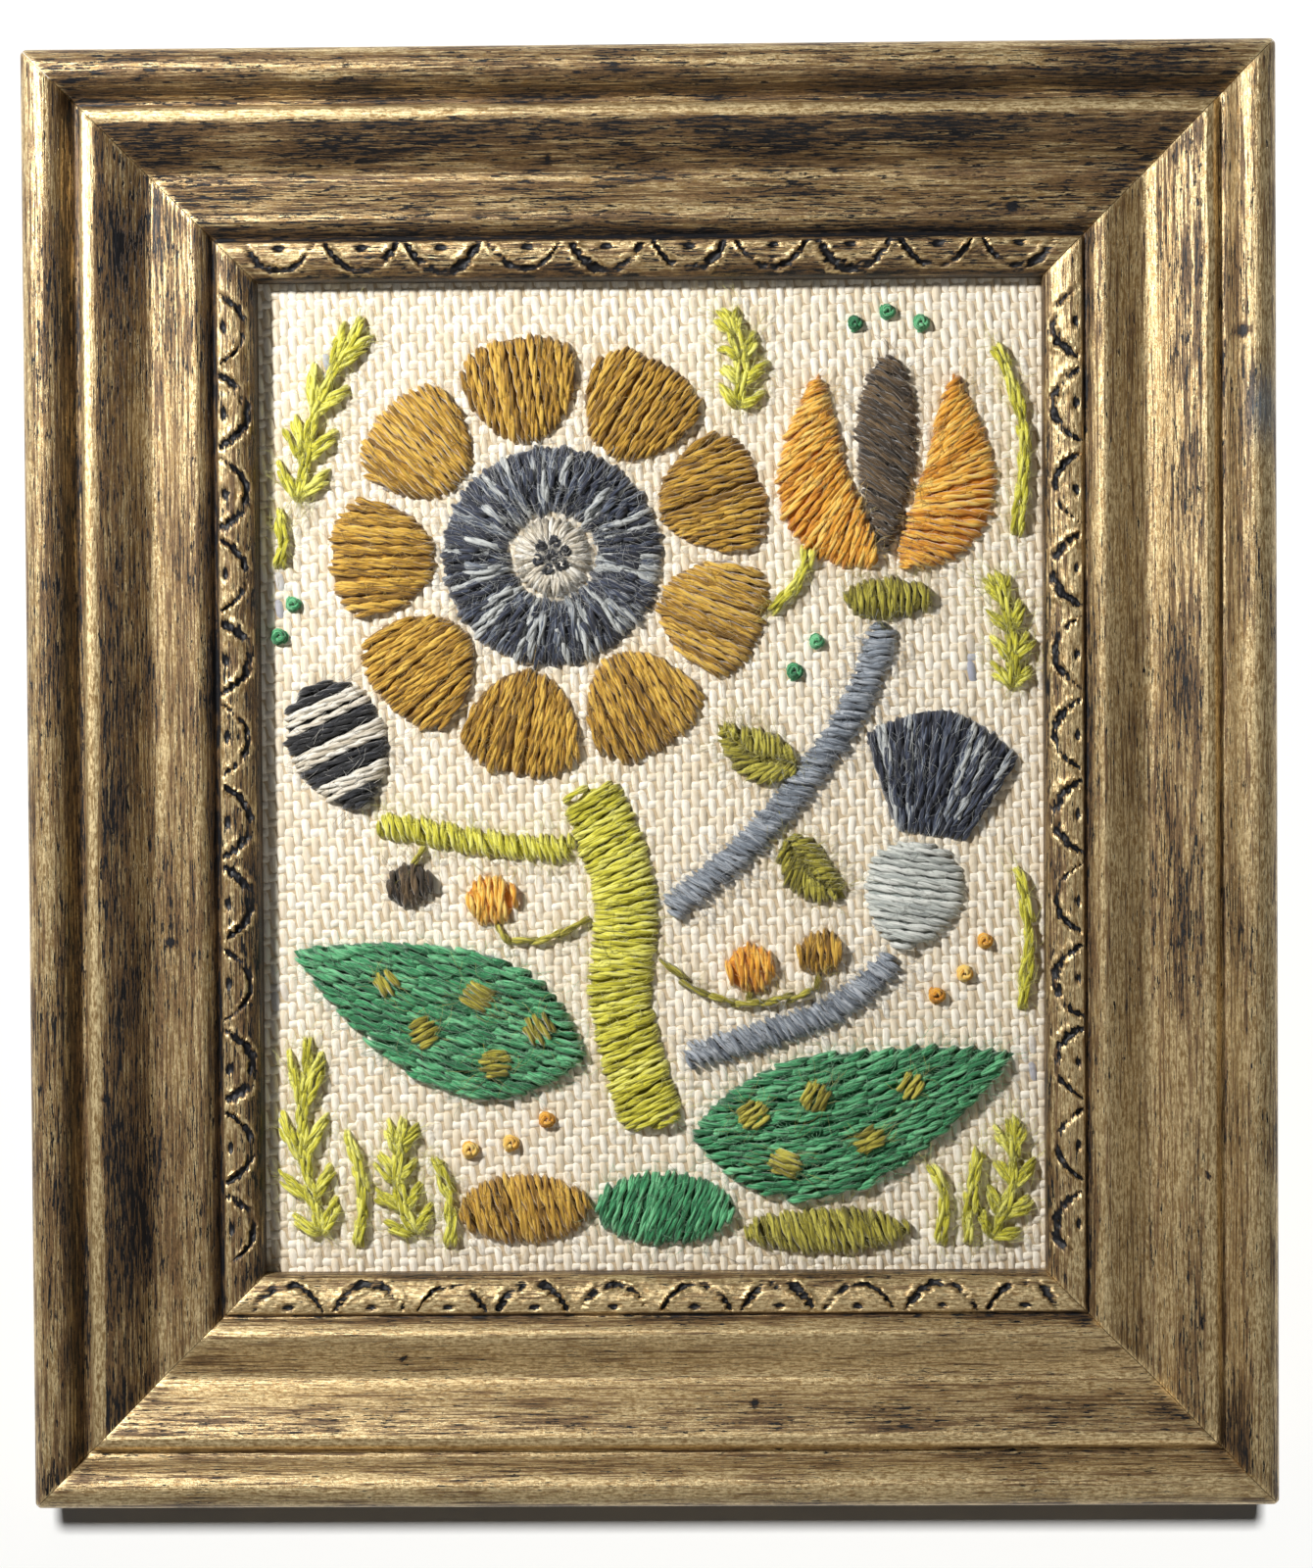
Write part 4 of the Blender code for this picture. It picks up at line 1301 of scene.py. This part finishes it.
def near_ink(places):
    """The faint blue of transfer ink at each place."""
    ink = np.zeros(len(places))
    for start, end in INK_LINES:
        a, b = np.array(start), np.array(end)
        share = np.clip(((places - a) @ (b - a)) / ((b - a) @ (b - a)), 0, 1)
        gap = np.hypot(*(places - a - share[:, None] * (b - a)).T)
        ink = np.maximum(ink, np.exp(-((gap / INK_WIDTH) ** 2)))
    return ink * (chance.uniform(0, 1, len(places)) > INK_GAPS) * INK_STRENGTH


def woven_floats(name, warp, shapes, material):
    """The threads that show on the cloth's face, one short length for each float."""
    columns = int((SIGHT_WIDTH / 2 + FLOAT_MARGIN) / WARP_PITCH)
    lines = int((SIGHT_LENGTH / 2 + FLOAT_MARGIN) / WEFT_PITCH)
    i, j = np.meshgrid(np.arange(-columns, columns + 1), np.arange(-lines, lines + 1), indexing="ij")
    i, j = i.ravel(), j.ravel()
    chosen = (i - j) % 3 == (2 if warp else 0)
    i, j = i[chosen], j[chosen]
    x = i * WARP_PITCH + 0.18 * np.sin(j * 0.13 + i * 0.05)
    y = (j + (0.5 if warp else 0.0)) * WEFT_PITCH + 0.2 * np.sin(i * 0.11 - j * 0.04)
    places = np.stack([x, y], -1)
    hidden = np.zeros(len(places), bool)
    for shape in shapes.values():
        if shape.kind != "fern":
            hidden |= shape.covers(places, HIDDEN_MARGIN)
    ring = np.hypot(*(places - np.array(ROSETTE_CENTRE)).T)
    hidden |= (ring > RING_INNER + HIDDEN_MARGIN) & (ring < RING_OUTER - HIDDEN_MARGIN)
    places, i, j = places[~hidden], i[~hidden], j[~hidden]
    n = len(places)
    wave = 0.06 * np.sin(places[:, 0] * 0.11) * np.sin(places[:, 1] * 0.09)
    thread_width = 1 + 0.09 * np.sin(i * 12.9898 if warp else j * 78.233)
    centres = np.column_stack([places + chance.normal(0, 0.05, (n, 2)), np.full(n, CLOTH_TOP) + wave])
    thread_tone = 0.5 + 0.25 * np.sin(i * 4.7 if warp else j * 3.9)
    tone = np.clip(thread_tone + chance.normal(0, 0.2, n), 0, 1)
    length = (2.6 if warp else 1.65) * chance.uniform(0.94, 1.06, n)
    width = (0.98 if warp else 0.98) * thread_width * chance.uniform(0.92, 1.06, n)
    height = (0.42 if warp else 0.34) * chance.uniform(0.85, 1.15, n)
    slant = (WARP_SLANT if warp else -6.0) + chance.normal(0, 3.0, n)
    points, quads, fibre, tones = floats(
        centres, length, width, height, slant, warp, tone, 6 if warp else 4, 4
    )
    ink = np.repeat(near_ink(places), len(points) // n)
    return make_piece(name, points, [quads], material, {"fibre": fibre, "tone": tones, "ink": ink})


def sheet_piece(material):
    """The cloth itself, a thin sheet that the floats stand on."""
    steps_x, steps_y = 40, 50
    x = np.linspace(CLOTH_LOW[0], CLOTH_HIGH[0], steps_x + 1)
    y = np.linspace(CLOTH_LOW[1], CLOTH_HIGH[1], steps_y + 1)
    grid_x, grid_y = np.meshgrid(x, y, indexing="ij")
    wave = 0.06 * np.sin(grid_x * 0.11) * np.sin(grid_y * 0.09)
    top = np.stack([grid_x, grid_y, CLOTH_TOP - SHEET_TOP_DROP + wave], -1).reshape(-1, 3)
    bottom = np.stack([grid_x, grid_y, np.full(grid_x.shape, CLOTH_LOW[2])], -1).reshape(-1, 3)
    index = np.arange(grid_x.size).reshape(grid_x.shape)
    a, b, c, d = index[:-1, :-1], index[1:, :-1], index[1:, 1:], index[:-1, 1:]
    upper = np.stack([a, b, c, d], -1).reshape(-1, 4)
    lower = np.stack([a, d, c, b], -1).reshape(-1, 4) + index.size
    rim = np.concatenate([index[:, 0], index[-1, 1:], index[-2::-1, -1], index[0, -2:0:-1]])
    after = np.roll(rim, -1)
    walls = np.stack([rim, rim + index.size, after + index.size, after], -1)
    points = np.concatenate([top, bottom])
    fibre = points * np.array([1.0, 0.3, 1.0])
    # A low tone keeps the sheet at the darker end of its painted shade
    flat_tone = np.full(len(points), 0.2)
    return make_piece(
        "twill_sheet",
        points,
        [np.concatenate([upper, lower, walls])],
        material,
        {"fibre": fibre, "tone": flat_tone, "ink": flat_tone * 0},
    )


def cloth_pieces(shapes):
    """The cloth's sheet, and the raised floats of its warp and weft."""
    threads = cotton_material("cotton_threads", linear(232, 218, 192), linear(254, 248, 234))
    # The sheet between the floats takes darker colours than the threads, as painted shade
    gap_shade = cotton_material("cotton_gaps_painted_shade", linear(200, 180, 148), linear(226, 208, 176))
    sheet = sheet_piece(gap_shade)
    warp = woven_floats("twill_warp", True, shapes, threads)
    weft = woven_floats("twill_weft", False, shapes, threads)
    finish_piece(sheet, ["ground_cloth"])
    for piece in (warp, weft):
        finish_piece(piece)


# The stage, lights and camera. The lights' places and sizes are in metres.

CAMERA_PLACE = (6.03, 7.22, 400.0)
CAMERA_TILT = (-1.18, 0.793, -0.38)
CAMERA_LENS = 73.94
KEY_PLACE = (-0.2, 0.155, 0.25)
KEY_SIZE = 0.035
KEY_POWER = 1.52
FILL_PLACE = (0.5, -0.9, 1.2)
FILL_SIZE = 0.8
FILL_POWER = 3.2
OVERHEAD_DISTANCE = 2.2
OVERHEAD_TILT = 20.0
OVERHEAD_SIZE = 0.2
OVERHEAD_POWER = 55.0
FLOOR_HALF = 3000.0
FLOOR_DROP = 0.02
WORLD_STRENGTH = 0.04


def area_light(name, place, size, power, colour=(1.0, 1.0, 1.0)):
    """A square lamp at a place, in metres, that faces the origin."""
    data = bpy.data.lights.new(name, "AREA")
    data.size = size
    data.energy = power
    data.color = colour
    lamp = bpy.data.objects.new(name, data)
    bpy.context.scene.collection.objects.link(lamp)
    lamp.location = place
    lamp.rotation_mode = "QUATERNION"
    lamp.rotation_quaternion = lamp.location.to_track_quat("Z", "Y")
    return lamp


def floor_and_lights():
    """A pale floor, lit apart from the panel, and the panel's own two lamps."""
    corners = np.array([[-1, -1, 0], [1, -1, 0], [1, 1, 0], [-1, 1, 0]]) * FLOOR_HALF
    material, _, shader = new_material("pale_floor")
    shader.inputs["Base Color"].default_value = linear(244, 244, 242)
    shader.inputs["Roughness"].default_value = 0.9
    floor = make_piece("floor", corners, [np.array([[0, 1, 2, 3]])], material, smooth=False)
    floor.location.z = -FLOOR_DROP * MM
    floor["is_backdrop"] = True

    key = area_light("key", KEY_PLACE, KEY_SIZE, KEY_POWER, (1.0, 0.98, 0.95))
    fill = area_light("fill", FILL_PLACE, FILL_SIZE, FILL_POWER, (1.0, 0.96, 0.9))
    tilt = math.radians(OVERHEAD_TILT)
    above = (0.0, OVERHEAD_DISTANCE * math.sin(tilt), OVERHEAD_DISTANCE * math.cos(tilt))
    overhead = area_light("floor_light", above, OVERHEAD_SIZE, OVERHEAD_POWER)

    panel = bpy.data.collections.new("panel")
    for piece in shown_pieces():
        panel.objects.link(piece)
    ground = bpy.data.collections.new("ground")
    ground.objects.link(floor)
    for lamp in (key, fill):
        lamp.light_linking.receiver_collection = panel
        lamp.visible_camera = False
    overhead.light_linking.receiver_collection = ground


def studio_world():
    """An even, faint white light from all round."""
    world = bpy.data.worlds.new("studio")
    world.use_nodes = True
    background = world.node_tree.nodes["Background"]
    background.inputs["Color"].default_value = (1.0, 1.0, 1.0, 1.0)
    background.inputs["Strength"].default_value = WORLD_STRENGTH
    bpy.context.scene.world = world
    bpy.context.scene.view_settings.view_transform = "Standard"


def photo_camera():
    """The camera, at the photo's view of the panel."""
    data = bpy.data.cameras.new("camera")
    data.lens = CAMERA_LENS
    data.sensor_width = 36.0
    data.clip_start = 0.01
    camera = bpy.data.objects.new("camera", data)
    bpy.context.scene.collection.objects.link(camera)
    camera.location = [v * MM for v in CAMERA_PLACE]
    camera.rotation_euler = [math.radians(v) for v in CAMERA_TILT]
    bpy.context.scene.camera = camera


def build():
    frame_pieces()
    shapes = all_shapes()
    embroider(shapes)
    replaced = {name: [] for name in WOOLS}
    for shape in shapes.values():
        replaced[shape.wool].append(shape.name)
    replaced["slate"].append("rosette_ring")
    for name in WOOLS:
        wool_piece(name, replaced[name])
    cloth_pieces(shapes)
    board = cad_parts["backing_board"]
    board.data.materials.clear()
    board.data.materials.append(board_material())
    floor_and_lights()
    studio_world()
    photo_camera()


build()
